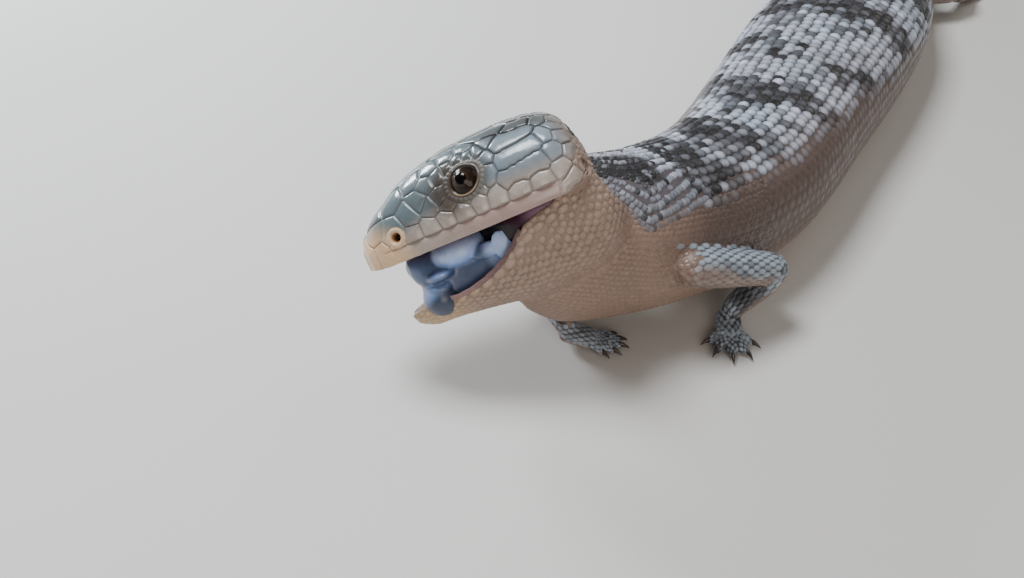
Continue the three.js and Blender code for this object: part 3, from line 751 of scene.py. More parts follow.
def throat_look(scales, station, turn, size, pitch):
    """Fine flat scales over the throat, chest and lower neck."""
    root = body_point(station, turn)
    low = from_crest(station, turn) - border_at(station) > 0
    station, turn, size, root = (v[low] for v in (station, turn, size, root))
    forward = body_frame(station)[1]
    down = from_crest(station, turn)
    face = mix(THROAT, FLANK, smoothstep(3.0, 4.4, station) * smoothstep(118, 84, down))
    face = face * (1 + 0.03 * random.normal(0, 1, len(root)) + 0.07 * noise(root, 9, 12))[:, None]
    place = unwrap_body(station, turn)
    # The rim colour, face * 0.84, is painted shade between the scales
    scales.add(root, -forward, pitch * 1.5, size * 1.15, 0.17, face, face * 0.84, place, 0.4, 0.6)


coat, laid = [], []


def add_coat(name, form, lay):
    scales = Scales(name, form)
    lay(scales)
    coat.append(scales.build())
    laid.append(scales.laid)


BODY_COAT = [  # name, plate, look and bands, each a first and last station, a number of columns and a pitch
    ("neck_scales", PLAIN_PLATE, neck_look, [(0.2, 4.3, 62, 1.15)]),
    ("throat_scales", PLAIN_PLATE, throat_look, [(0.2, 5.0, 92, 1.5)]),
    ("shoulder_scales", FINE_PLATE, trunk_look, [(4.2, 6.6, 44, 3.0)]),
    ("trunk_scales", FINE_PLATE, trunk_look, [(6.6, 8.7, 44, 3.25)]),
    ("rump_scales", FINE_PLATE, trunk_look, [(8.7, 11.0, 42, 3.5)]),
    ("tail_scales", FINE_PLATE, trunk_look, [
        (11.0, 12.4, 30, 3.5), (12.4, 13.8, 24, 3.3), (13.8, 15.0, 18, 3.0), (15.0, 16.0, 12, 2.6),
        (16.0, 17, 8, 2.1),
    ]),
]
for name, form, look, bands in BODY_COAT:
    add_coat(name, form, lambda scales: [body_rows(scales, *band, look) for band in bands])


# Leg and foot scales
def bar_rows(scales, start, end, radii, flat, pitch, size, chart, tone, root_share=0.0):
    """Scales round a straight bar of a limb, with their free edges towards its end."""
    axis, side, up = bar_axes(start, end)
    length = np.linalg.norm(end - start)
    number = np.arange(0, max(2, int(length / pitch)) + 1)
    columns = max(5, int(round(2 * np.pi * max(radii) * (1 + flat) / 2 / size)))
    row, column = np.meshgrid(number, np.arange(columns), indexing="ij")
    t = np.clip((row.ravel() + 0.3) * pitch / length, 0, 1)
    a = (column.ravel() + 0.5 * (row.ravel() % 2)) * 2 * np.pi / columns
    radius = np.interp(t, np.linspace(0, 1, len(radii)), radii)
    root = (start + axis * (t * length)[:, None] + side * (np.cos(a) * radius)[:, None]
            + up * (np.sin(a) * radius * flat)[:, None])
    under_root = root_share * smoothstep(0.75, 0.0, t)
    upper = smoothstep(-0.45, 0.15, np.sin(a) + 0.3 * noise(root, 5, 16) - under_root)
    count = len(root)
    chance = random.random(count)
    dark = smoothstep(0.15, 0.5, noise(root, 8, 9)) * tone + np.where(chance < 0.1, 0.4, 0)
    face = mix(PALE * 0.74, DARK * 1.3, np.clip(dark, 0, 0.9))
    face = mix(mix(BELLY, GREY, 0.2) * 0.8, face, upper) * (1 + 0.09 * random.normal(0, 1, count))[:, None]
    # Painted shade: darker rims for the shade between scales, darkest on the upper side
    rim = mix(face * 0.75, face * 0.22, upper)
    chart_row, chart_column = divmod(chart, 4)
    turn_share = a / (2 * np.pi)
    place = np.stack([0.03 + 0.2 * chart_column + 0.17 * t, 0.56 + 0.06 * chart_row + 0.05 * turn_share], -1)
    width = 2 * np.pi * radius * (1 + flat) / 2 / columns * 1.06
    along = np.broadcast_to(axis, root.shape)
    scales.add(root, along, pitch * 1.9, width, 0.26 + 0.16 * upper, face, rim, place, 0.35, 0.7)


# Pitch and size of the scales on the upper leg, lower leg and foot, and on the toes
BAR_SCALES = [(2.1, 2.3), (2.0, 2.2), (1.6, 1.7)]
TOE_SCALES = (1.05, 1.5)
CHARTS = 24  # places for limbs on the unwrap


def lay_legs(scales):
    scales.reach = 0.8
    chart = 0
    for joints, toes, fan, thick in LEGS.values():
        bars, digits = leg_parts(joints, toes, fan, thick)
        for bar, (pitch, size), root_share in zip(bars, BAR_SCALES, (1.0, 0.0, 0.0)):
            bar_rows(scales, *bar, pitch, size, chart, 0.9, root_share)
            chart += 1
        for digit in digits:
            first, tip = (toe_arch(*digit, t)[0] for t in (-0.1, 0.92))
            radii = [TOE_RADIUS, TOE_RADIUS * 0.82]
            bar_rows(scales, first, tip, radii, 1.0, *TOE_SCALES, chart % CHARTS, 0.5)
            chart += 1


add_coat("leg_scales", PLAIN_PLATE, lay_legs)

# Jaw, cheek and throat scales
JAW_PITCH = 1.55
LIP_EDGE = 11  # turn where the rows of the jaw end and the shields of the lower lip begin


def jaw_rows(scales):
    x = np.arange(-7.0, 49.4, JAW_PITCH)
    for number, ahead in enumerate(x):
        here = at_distance(JAW, ahead)
        girth = np.pi * (here[1] + here[3] - here[2]) / 2 * 1.05
        size = 2.5 - 0.7 * smoothstep(12, 40, ahead)
        columns = max(6, int(girth / (size * 0.92)))
        turn = (np.arange(columns) + 0.5 * (number % 2) + 0.25) * 180 / columns
        turn = turn[(turn > LIP_EDGE) & (turn < 180 - LIP_EDGE)]
        if len(turn) == 0:
            continue
        under = smoothstep(25, 70, 90 - np.abs(turn - 90))
        count = len(turn)
        place = np.full(count, ahead) + random.normal(0, 0.12, count)
        root = from_jaw(jaw_point(place, turn + random.normal(0, 0.5, count)))
        along = np.broadcast_to(-JAW_TURN[:, 0], root.shape)
        face = mix(CHEEK, THROAT, under) * (1 + 0.06 * random.normal(0, 1, count))[:, None]
        face = mix(face, SNOUT * 0.9, 0.8 * smoothstep(32, 44, place))
        # Painted shade: the rims are darker than the faces, for the shade between scales
        rim = mix(face * 0.70, face * 0.84, under)
        chart_place = np.stack([0.02 + 0.45 * (place + 10) / 62, 0.82 + 0.15 * turn / 180], -1)
        width = girth / columns * 1.05
        scales.add(root, along, JAW_PITCH * 1.75, width, 0.22 - 0.08 * under, face, rim, chart_place, 0.3, 0.5)


def lip_row(scales, first, pitch, count, turn, wide, chart_row):
    """Long shields along the lower lip of both sides."""
    for side in (0, 1):
        ahead = first - pitch * np.arange(count)
        at = np.full(count, float(turn))
        root = from_jaw(jaw_point(ahead, 180 - at if side else at))
        along = np.broadcast_to(-JAW_TURN[:, 0], root.shape)
        vary = (1 + 0.03 * random.normal(0, 1, count))[:, None]
        face = mix(CHEEK * 1.15, SNOUT, smoothstep(24, 44, ahead)) * vary
        chart_place = np.stack([0.02 + 0.45 * (ahead + 10) / 62, np.full(count, chart_row + 0.01 * side)], -1)
        # The rim colour, face * 0.66, is painted shade in the gaps between the shields
        scales.add(root, along, pitch * 1.16, wide, 0.30, face, face * 0.66, chart_place, 0.35, 0.25)


def lay_face(scales):
    jaw_rows(scales)
    lip_row(scales, 43.6, 3.7, 12, 6.5, 2.6, 0.78)


add_coat("face_scales", PLAIN_PLATE, lay_face)


# Scales in the places that the rows leave free, such as behind the head and round the shoulders and hips
FREE_GAP = 1.7
CELL = 2  # side of the cells in which free scales look for their neighbours
NEIGHBOURS = list(itertools.product((-1, 0, 1), repeat=3))


def lay_between(scales):
    root, along, width, face, rim, unwrap = (np.concatenate(parts) for parts in zip(*laid))
    found = KDTree(len(root) + len(skin_points))
    for i, p in enumerate(root):
        found.insert(p, i)
    found.balance()
    ahead = to_head(skin_points)
    own = (ahead[:, 0] > -6.5) & (ahead[:, 2] > -1.5) & (np.abs(ahead[:, 1]) < 24)
    own |= (ahead[:, 0] > 0) & (np.abs(ahead[:, 1]) < 16) & (to_jaw(skin_points)[:, 2] > -8)
    taken = {}
    chosen, nearest = [], []
    for v in np.flatnonzero(~own):
        p = skin_points[v]
        _, i, gap = found.find(p)
        if gap < 0.62 * width[i] + 0.25:
            continue
        cell = tuple(int(c) for c in np.floor(p / CELL))
        around = [taken.get((cell[0] + a, cell[1] + b, cell[2] + c)) for a, b, c in NEIGHBOURS]
        if any(q is not None and np.linalg.norm(q - p) < FREE_GAP for q in around):
            continue
        taken[cell] = p
        chosen.append(v)
        nearest.append(i)
    place = skin_points[chosen]
    along, face, rim, unwrap = (v[nearest] for v in (along, face, rim, unwrap))
    scales.add(place, along, 2.6, 2.2, 0.26, face, rim, unwrap, dome=0.35, tilt=0.6)


add_coat("between_scales", PLAIN_PLATE, lay_between)

# Head shields: seeds by their distance ahead and turn. A shield with several seeds is long.
MIDDLE_SHIELDS = [
    [(50.6, 90), (50.4, 40), (50.4, 140), (49.6, 15), (49.6, 165)],
    [(45.3, 90), (45.0, 80), (45.0, 100)],
    [(32.4, 90), (28.6, 90), (35.6, 90)],
    [(15.6, 90), (13.0, 90)],
    [(-7.0, 90)],
]
SIDE_SHIELDS = [
    [(46.4, 55)],
    [(41.6, 24), (41.2, 30)],
    [(39.6, 72), (38.6, 64)],
    [(45.8, 12)],
    [(36.3, 34)], [(32.6, 40)], [(30.2, 29)],
    [(32.6, 66)], [(27.4, 65)], [(22.4, 66)], [(17.8, 67)],
    [(29.4, 51)], [(26.2, 53)], [(23.2, 55)], [(20.2, 56)], [(17.4, 55)], [(15.0, 55)],
    [(22.8, 84)],
    [(14.6, 77), (11.4, 76), (8.4, 77)],
    [(4.6, 84)], [(0.4, 85)], [(-3.6, 86)],
    [(4.4, 70), (2.4, 71)], [(-1.4, 68)], [(-5.0, 66)],
    [(12.6, 60)], [(13.6, 44)], [(14.4, 34), (15.6, 28)],
    [(9.6, 52), (6.4, 53), (3.4, 56)],
    [(10.2, 36), (6.0, 39), (2.2, 42)],
    [(11.0, 22), (6.8, 24), (2.8, 26)],
    [(-1.4, 30)], [(-1.0, 47)], [(-2.0, 14)], [(-4.9, 44)], [(-5.6, 24)], [(-4.4, 57)],
    [(27.6, 32)], [(26.4, 23)], [(22.0, 22)], [(17.8, 24)],
    [(-6.9, 80)], [(-7.4, 68)], [(-7.5, 56)], [(-7.8, 45)], [(-7.9, 34)], [(-7.9, 23)],
    [(-6.6, 14)], [(-3.4, 6)],
]
LIP_SHIELDS = [
    [(41.6, 12)], [(37.3, 13)], [(32.6, 12)], [(28.2, 13.5)], [(24.0, 13)], [(19.6, 16)], [(14.8, 14)],
    [(9.4, 11.5)], [(3.6, 10.5)],
]
SHIELD_RISE = 0.36
GROOVE = 0.34
LIP_STRIP = 3.4  # height of the smooth strip along the upper lip
NOSTRIL_RIM = 1.9
EAR_SIZE = [0.8, 1.6, 1.7]
EYE_BED = 1.5
SHELL_REAR, SNOUT_START, SNOUT_LENGTH = -8.8, 45, 6


def eye_chart(x, side_turn):
    """Millimetres along and across the eye, and how far out a place lies, where the lids' bed ends at 1."""
    ahead, rise = x - EYE_AHEAD, (side_turn - EYE_TURN) * EYE_ARC
    a = math.radians(EYE_TILT)
    u, v = ahead * math.cos(a) + rise * math.sin(a), rise * math.cos(a) - ahead * math.sin(a)
    return u, v, np.sqrt((u / (EYE_LONG + EYE_BED)) ** 2 + (v / (EYE_TALL + EYE_BED)) ** 2)


def shield_cells(points):
    """The nearest shield of each point, and how far inside its edge the point lies."""
    groups = [list(s) for s in MIDDLE_SHIELDS]
    for shield in SIDE_SHIELDS + LIP_SHIELDS:
        groups += [list(shield), [(x, 180 - t) for x, t in shield]]
    first = np.full(len(points), 1e9)
    second = np.full(len(points), 1e9)
    first_seed = np.zeros(points.shape)
    second_seed = np.zeros(points.shape)
    nearest = np.zeros(len(points), int)
    warped = points + 0.4 * np.stack([noise(points, 5.5, 20 + k) for k in range(3)], -1)
    for number, group in enumerate(groups):
        seeds = np.array([head_point(x, t) for x, t in group])
        if len(seeds) > 1:
            seeds = np.concatenate([seeds, (seeds[1:] + seeds[:-1]) / 2])
        away = np.sqrt(((warped[:, None] - seeds[None]) ** 2).sum(-1))
        which = away.argmin(1)
        distance, seed = away.min(1), seeds[which]
        closer, next_best = distance < first, distance < second
        second_seed = np.where(closer[:, None], first_seed, np.where(next_best[:, None], seed, second_seed))
        second = np.where(closer, first, np.where(next_best, distance, second))
        first_seed = np.where(closer[:, None], seed, first_seed)
        nearest = np.where(closer, number, nearest)
        first = np.minimum(first, distance)
    apart = np.linalg.norm(second_seed - first_seed, axis=1)
    return nearest, (second**2 - first**2) / (2 * apart)


def reach_from(points, ahead, turn, size=1.0):
    """Distance from a place on the head, as a share of a size."""
    return np.linalg.norm((points - head_point(ahead, turn)) / size, axis=1)


def lip_strip(z, x):
    """How much a place belongs to the smooth strip along the upper lip, from mouth corner to snout."""
    return smoothstep(LIP_STRIP + 0.3, LIP_STRIP - 0.1, z) * smoothstep(47, 43, x) * smoothstep(-2.5, 2.5, x)


def shell_rise(points, x, side_turn, cell, inside):
    """The relief of the head: shields with grooves between them, the lip strip, nostril rims, and pits."""
    faint = 0.55 + 0.45 * smoothstep(19, 15, x)
    shield = SHIELD_RISE * (1 - np.exp(-inside / 0.24)) + 0.10 * smoothstep(0, 2.5, inside)
    shield -= GROOVE * faint * ridge(inside, 0.20)
    on_lip = cell >= len(MIDDLE_SHIELDS) + 2 * len(SIDE_SHIELDS)
    shield = shield + np.where(on_lip, 0.34 * smoothstep(0.2, 2.2, inside), 0)
    shield = shield * smoothstep(-8.3, -5.2, x)
    z = points[:, 2]
    strip = lip_strip(z, x)
    bulge = 0.40 * np.clip(1 - ((z - 1.5) / 2.1) ** 2, 0, 1) - 0.22 * ridge(z - LIP_STRIP, 0.25)
    rise = shield * (1 - strip) + bulge * strip
    _, _, eye = eye_chart(x, side_turn)
    rise = rise * smoothstep(1.0, 1.35, eye) - 4.0 * smoothstep(1.02, 0.86, eye)
    for turn in both_sides(NOSTRIL_TURN):
        hole = reach_from(points, NOSTRIL_AHEAD, turn)
        rise = rise * smoothstep(2.3, 3.0, hole) + 0.62 * ridge(hole - NOSTRIL_RIM, 0.62)
        rise -= 2.3 * smoothstep(1.25, 0.55, hole)
    for turn in both_sides(EAR_TURN):
        ear = reach_from(points, EAR_AHEAD, turn, EAR_SIZE)
        rise -= 1.8 * smoothstep(1.2, 0.5, ear)
    tuck = smoothstep(1.6, 0.2, z) * smoothstep(0.5, -3, x)
    return rise - 2.2 * smoothstep(-7.2, -8.7, x) * smoothstep(10, 30, side_turn) - 0.8 * tuck


def shell_tint(points, x, side_turn, cell, inside):
    """Silver grey top, cream snout, pinkish lip, black lines at the temples and brown round the eye."""
    z = points[:, 2]
    vary = random.normal(0, 1, cell.max() + 1)
    brownish = smoothstep(-0.2, 0.6, noise(points, 9, 32)) * smoothstep(28, 50, side_turn)
    crown = mix(HEAD_TOP, BROWN, 0.6 * brownish)
    tint = mix(crown, SILVER, smoothstep(17, 13, x) * smoothstep(66, 54, side_turn) * smoothstep(-8, -3, x))
    tint = mix(tint, LIP, smoothstep(30, 14, side_turn))
    tint = mix(tint, PINK * 1.7, 0.24 * lip_strip(z, x) * smoothstep(38, 16, x))
    tint = mix(tint, SNOUT, smoothstep(38, 46, x - 0.13 * (side_turn - 20)))
    tint = mix(tint, CHEEK, smoothstep(-1, -8, x) * 0.6)
    strip = lip_strip(z, x)
    tint *= (1 + 0.06 * vary[cell] * (1 - strip) + 0.06 * noise(points, 3, 30))[:, None]
    temple = smoothstep(18, 14, x) * smoothstep(22, 42, side_turn) * smoothstep(-7, 0, x)
    line = (0.45 + 0.55 * temple) * (1 - 0.6 * smoothstep(30, 44, x))
    width = 0.19 + 0.30 * temple * smoothstep(40, 56, side_turn)
    groove = line * ridge(inside, width) * (1 - strip)
    tint = mix(tint, LINE, np.clip(groove, 0, 1))
    # Painted shade: brown along the crease above the lip strip
    lip_crease_shade = ridge(z - LIP_STRIP, 0.22) * smoothstep(46, 42, x) * smoothstep(-1, 3, x)
    tint = mix(tint, BROWN, 0.5 * lip_crease_shade)
    u, v, eye = eye_chart(x, side_turn)
    fore = smoothstep(-0.2, 0.9, (0.8 * u + 0.75 * v) / np.hypot(u, v))
    shadow = ridge(eye - 1.05, 0.36 + 0.45 * fore)
    tint = mix(tint, BROWN * 0.9, np.clip((0.5 + 0.6 * fore) * shadow, 0, 0.85))
    # Painted shade: black in the sunk socket round the ball
    tint = mix(tint, LINE, smoothstep(1.02, 0.92, eye))
    for turn in both_sides(NOSTRIL_TURN):
        hole = reach_from(points, NOSTRIL_AHEAD, turn)
        tint = mix(tint, SNOUT * 1.08, 0.9 * ridge(hole - NOSTRIL_RIM, 0.7, 4))
        tint = mix(tint, colour("8A5A30"), smoothstep(1.35, 1.0, hole))
        # Painted shade: the nostril's hole is near black
        tint = mix(tint, colour("1A0F0A"), smoothstep(1.0, 0.75, hole))
    for turn in both_sides(EAR_TURN):
        ear = reach_from(points, EAR_AHEAD, turn, EAR_SIZE)
        # Painted shade: near black in the ear openings
        tint = mix(tint, CAVITY_SHADE, smoothstep(1.1, 0.7, ear))
    return tint


def head_shell():
    """The upper head as one closed plate work, with its lips turned in under the edge."""
    snout = SNOUT_START + SNOUT_LENGTH * np.sin(np.linspace(0, np.pi / 2, 56))
    x = np.concatenate([np.linspace(SHELL_REAR, SNOUT_START, 238), snout[1:]])
    under = np.linspace(-26, -3, 9)
    turn = np.concatenate([under, np.linspace(0, 180, 301), 180 - under[::-1]])
    x, turn = np.meshgrid(x, turn, indexing="ij")
    rows, sides = x.shape
    points = head_base(x, turn).reshape(-1, 3)
    out = outward(head_base, x, turn).reshape(-1, 3)
    x, turn = x.ravel(), turn.ravel()
    side_turn = np.minimum(turn, 180 - turn)
    cell, inside = shield_cells(points)
    rise = shell_rise(points, x, side_turn, cell, inside)
    tint = shell_tint(points, x, side_turn, cell, inside)
    tint = mix(tint, mix(CHEEK, PINK, smoothstep(0, 8, x)), smoothstep(-2, -8, side_turn))
    gloss = 1 - 0.85 * ridge(inside, 0.24) * (1 - lip_strip(points[:, 2], x))
    tint = np.concatenate([tint, gloss[:, None]], 1)
    raised = points + out * rise[:, None]
    sunk = 0.20 * smoothstep(-3.8, -8.6, x) * smoothstep(34, 14, side_turn)
    raised[:, 1] *= 1 - sunk
    raised[:, 2] += sunk * (8 - raised[:, 2])
    raised = from_head(raised)
    shape, faces = loft(raised.reshape(rows, sides, 3))
    return make_piece("head_shields", shape, faces, tint)


head_shields = head_shell()


# Lids: a margin that lies on the ball, a crease, and a ring of small scales on the skin round it
LID_SECTION = np.array([  # outside the opening, share on the skin, lift
    [-0.60, 0, -0.7], [-0.15, 0, -0.05], [0.0, 0, 0.22], [0.16, 0.05, 0.42], [0.40, 0.2, 0.46],
    [0.66, 0.5, 0.30], [0.86, 0.8, 0.16], [1.05, 1, 0.24], [1.35, 1, 0.28], [1.65, 1, 0.24],
    [1.9, 1, 0.10], [2.1, 1, 0.0], [2.4, 1, -0.8], [1.5, 1, -1.8], [0.4, 0.3, -1.3],
])
LID_BEADS = 13  # pairs of small scales in the ring
LID_STEPS = 270
MARGIN_ROW, CREASE_ROW = 3, 6
RING_ROWS = (7, 10)


def lid_ring(name, turn):
    a, row = np.meshgrid(circle(LID_STEPS), np.arange(len(LID_SECTION)), indexing="ij")
    reach, on_skin, lift = (LID_SECTION[row, k] for k in range(3))
    beads = np.abs(np.sin(a * LID_BEADS)) ** 0.6
    ring = (row >= RING_ROWS[0]) & (row <= RING_ROWS[1])
    lift = lift - np.where(ring, 0.12 * (1 - beads), 0)
    long, tall = np.cos(a), power(np.sin(a), 1.25)
    push = unit(np.stack([np.cos(a) / EYE_LONG, np.sin(a) / EYE_TALL], -1))
    u = EYE_LONG * long + push[..., 0] * reach
    v = EYE_TALL * tall + push[..., 1] * reach
    tilt = math.radians(EYE_TILT)
    x = EYE_AHEAD + u * math.cos(tilt) - v * math.sin(tilt)
    rise = (u * math.sin(tilt) + v * math.cos(tilt)) / EYE_ARC
    at = turn + (rise if turn < 90 else -rise)
    skin_place = head_point(x, at, lift)
    centre = head_point(EYE_AHEAD, turn, EYE_SUNK)
    ball_place = centre + unit(head_point(x, at) - centre) * (EYE_RADIUS + lift)[..., None]
    points = mix(ball_place, skin_place, on_skin)
    rows, sides = a.shape
    index = np.arange(rows * sides).reshape(rows, sides)
    below, after = np.roll(index, -1, axis=0), np.roll(index, -1, axis=1)
    faces = np.stack([index, after, np.roll(below, -1, axis=1), below], -1).reshape(-1, 4)
    flat = points.reshape(-1, 3)
    top = index[:, 8].ravel()
    normal = np.cross(flat[after[:, 8]] - flat[top], flat[below[:, 8]] - flat[top])
    if (normal * (flat[top] - centre)).sum() < 0:
        faces = faces[:, ::-1]
    fore = smoothstep(-0.3, 0.8, 0.8 * np.cos(a) + 0.75 * np.sin(a))
    low_front = smoothstep(0.2, 0.9, np.cos(a + 0.9))
    # Painted shadow: the ring turns brown in front of and above the eye, as on the head round it
    tint = mix(mix(colour("615D55"), BROWN, 0.95 * fore), LINE, np.where(ring, 0.6 * (1 - beads) ** 2, 0))
    margin = mix(colour("3A2A20"), colour("C9B48C"), 0.85 * low_front * (row == MARGIN_ROW))
    margin = mix(margin, colour("6E5C49"), 0.7 * (row == MARGIN_ROW + 1))
    tint = mix(tint, margin, (row <= 4) * 1.0)
    # Painted shade: dark brown in the lid's crease
    tint = mix(tint, colour("2A1F18"), (row == CREASE_ROW) * 0.7)
    # Painted shade: near black on the inner rows, where the lid tucks against the ball
    tint = mix(tint, colour("17100C"), (row <= 1) * 1.0)
    gloss = np.where(row <= 5, 0.7, 0.25)[..., None]
    tint = np.concatenate([tint, gloss], -1).reshape(-1, 4)
    return make_piece(name, from_head(flat), [faces], tint)


eyelids = [lid_ring("eyelid_left", EYE_TURN), lid_ring("eyelid_right", 180 - EYE_TURN)]


# Eyes: a ball with a raised cornea, coloured by the distance from the line of sight
def sphere_angles(rows, sides):
    return np.meshgrid(np.linspace(0, np.pi, rows + 2)[1:-1], circle(sides), indexing="ij")


PUPIL_EDGE, IRIS_EDGE = (21.0, 19.5), (38, 52)  # degrees from the line of sight


def eyeball(name, turn):
    centre = head_point(EYE_AHEAD, turn, EYE_SUNK)
    out = outward(head_base, np.asarray(EYE_AHEAD), np.asarray(float(turn)))
    forward = unit(np.array([1.0, 0, 0]) - out * out[0])
    up = np.cross(forward, out)
    up = up if up[2] > 0 else -up
    gaze = unit(out + 0.06 * forward - 0.02 * up)
    first = unit(np.cross(gaze, UP))
    second = np.cross(gaze, first)
    a, b = sphere_angles(68, 96)
    radius = EYE_RADIUS + 0.35 * ridge(a, 0.42, 4)
    direction = (gaze * np.cos(a)[..., None] + first * (np.sin(a) * np.cos(b))[..., None]
                 + second * (np.sin(a) * np.sin(b))[..., None])
    points, faces = loft(centre + direction * radius[..., None])
    angle = np.degrees(a).ravel()
    streak = noise(np.stack([np.cos(b) * 9, np.sin(b) * 9, a * 3], -1), 1.0, 40).ravel()
    fine = noise(np.stack([np.cos(b) * 26, np.sin(b) * 26, a * 2], -1), 1.0, 41).ravel()
    iris = mix(colour("170E09"), colour("301F15"), np.clip(0.40 + 0.35 * streak + 0.2 * fine, 0, 1))
    tint = mix(iris, colour("4A3122"), ridge(angle - 22.5, 2.0) * 0.8)
    tint = mix(tint, colour("050404"), smoothstep(*PUPIL_EDGE, angle))
    tint = mix(tint, colour("120A07"), smoothstep(*IRIS_EDGE, angle))
    return make_piece(name, from_head(points), faces, tint)


eyes = [eyeball("eye_ball_left", EYE_TURN), eyeball("eye_ball_right", 180 - EYE_TURN)]

# Tongue: a body painted a dark blue-grey as shade, with a swollen cushion, two folds, a tip painted dark as
# shade and a thin lobe at each side
TONGUE = np.array([
    [6, 5, -8, -12], [10, 9, -7, -14], [17, 11, -5.5, -16], [24, 10.4, -3.5, -18.5], [30, 9.4, -2, -18.5],
    [36, 8.6, -1, -17], [40, 7.2, -0.8, -12], [42.4, 5, -1.4, -8], [43.4, 2, -3, -5.5],
])
TONGUE_VOXEL = 0.36
CUSHION = ((29.0, 0, -3.9), (7.4, 13.0, 4.2))
FOLDS = [((35.6, 0, -7.4), (4.6, 12.0, 1.8)), ((37.2, 0, -10.4), (4.8, 10.6, 2.0))]
TIP = ((37.8, 5.4, -13.0), (4.9, 5.2, 4.8))
LOBE_PARTS = [  # centre on the left side, radii, and turn in the lobe's plane
    ((22.8, 11.4, -6.0), (4.0, 1.7, 2.1), 0), ((18.3, 12.8, -6.6), (2.9, 1.1, 4.2), 8),
    ((15.9, 13.0, -4.0), (1.0, 0.8, 2.5), 20), ((17.8, 12.2, -10.0), (1.3, 0.8, 2.4), -12),
]


def ball(centre, size, tilt=0.0, squareness=1.0):
    a, b = sphere_angles(24, 32)
    girth = np.sin(a) ** squareness
    points = np.stack([power(np.cos(a), squareness) * size[0], girth * power(np.cos(b), squareness) * size[1],
                       girth * power(np.sin(b), squareness) * size[2]], -1)
    return loft(points @ turned("Y", tilt).T + np.array(centre))


def barrel(table, rows, sides, squareness):
    """A closed form through squarish ovals: distance ahead, half width, top and bottom."""
    x = np.linspace(table[0, 0], table[-1, 0], rows)
    here = at_distance(table, x)[:, None]
    a = circle(sides)
    side = power(np.cos(a), squareness) * here[..., 1]
    middle, half = (here[..., 2] + here[..., 3]) / 2, (here[..., 2] - here[..., 3]) / 2
    rise = middle + power(np.sin(a), squareness) * half
    return loft(np.stack([x[:, None] + 0 * side, side, rise], -1))


def depth_in(points, centre, size):
    return np.linalg.norm((points - np.array(centre)) / np.array(size), axis=1)


def tongue_piece():
    forms = [barrel(TONGUE, 120, 64, 0.8), ball(*CUSHION, squareness=0.85)]
    forms += [ball(*fold, squareness=0.8) for fold in FOLDS] + [ball(*TIP)]
    for (x, y, z), size, tilt in LOBE_PARTS:
        forms += [ball((x, s * y, z), size, tilt) for s in (1, -1)]
    piece = fused("tongue_flesh", [(from_head(points), faces) for points, faces in forms], TONGUE_VOXEL, 3)
    points = to_head(points_of(piece))
    x, y, z = points.T
    # blue is the tongue's own colour; light is a lit copy of it and the dark blue-grey a shaded copy, both
    # painted
    light, blue, shaded_slate = colour("BFD6FF"), colour("90AEE6"), colour("3C4A66")
    # Painted shade: the body is mostly the dark shaded copy
    tint = mix(shaded_slate, blue * 0.6, 0.25 + 0.25 * noise(points, 5, 51))
    cushion = smoothstep(1.16, 1.02, depth_in(points, *CUSHION)) * smoothstep(-9.0, -6.0, z)
    # Painted light: the cushion grows lighter towards its top
    tint = mix(tint, mix(blue, light, smoothstep(-5.5, -2.5, z)), cushion)
    for centre, size in FOLDS:
        near = smoothstep(1.14, 1.02, depth_in(points, centre, size))
        # Painted light and shade: each fold is lighter on top and shaded dark below
        lit = mix(shaded_slate, colour("7F97C6"), smoothstep(-0.5, 0.7, (z - centre[2]) / size[2]))
        tint = mix(tint, lit, near)
    # Painted shade: the tip is dark, lighter only towards its top
    tip = mix(colour("303B52"), blue * 0.9, smoothstep(0.8, 4.6, z - TIP[0][2] + 0.5 * (x - TIP[0][0])))
    tint = mix(tint, tip, smoothstep(1.10, 1.0, depth_in(points, *TIP)))
    lobe = smoothstep(24.5, 21.5, x) * smoothstep(9.5, 10.8, np.abs(y))
    tint = mix(tint, mix(light * 1.08, blue, 0.35 + 0.5 * noise(points, 3, 53)), lobe)
    paint(piece.data, tint * (1 + 0.07 * noise(points, 1.2, 52))[:, None])
    return piece


tongue = tongue_piece()


# Mouth lining: wet pads over the palate and the floor of the mouth
# The inside of the cheeks and the dark throat behind the tongue: ahead, half width, top and bottom
THROAT_FORM = np.array([
    [-4, 13, 0.4, -3], [0, 17.8, 1.2, -3.5], [6, 18.4, 1.4, -5], [11, 17.2, 1.7, -6.5], [15, 15.4, 2.0, -8.5],
    [18, 12.6, 2.2, -10], [21, 9, 2.2, -10.5], [23, 5, 1.5, -9],
])
LINING_PADS = [(head_base, from_head, -1, 3, 48.5), (jaw_base, from_jaw, 1, 14, 44)]


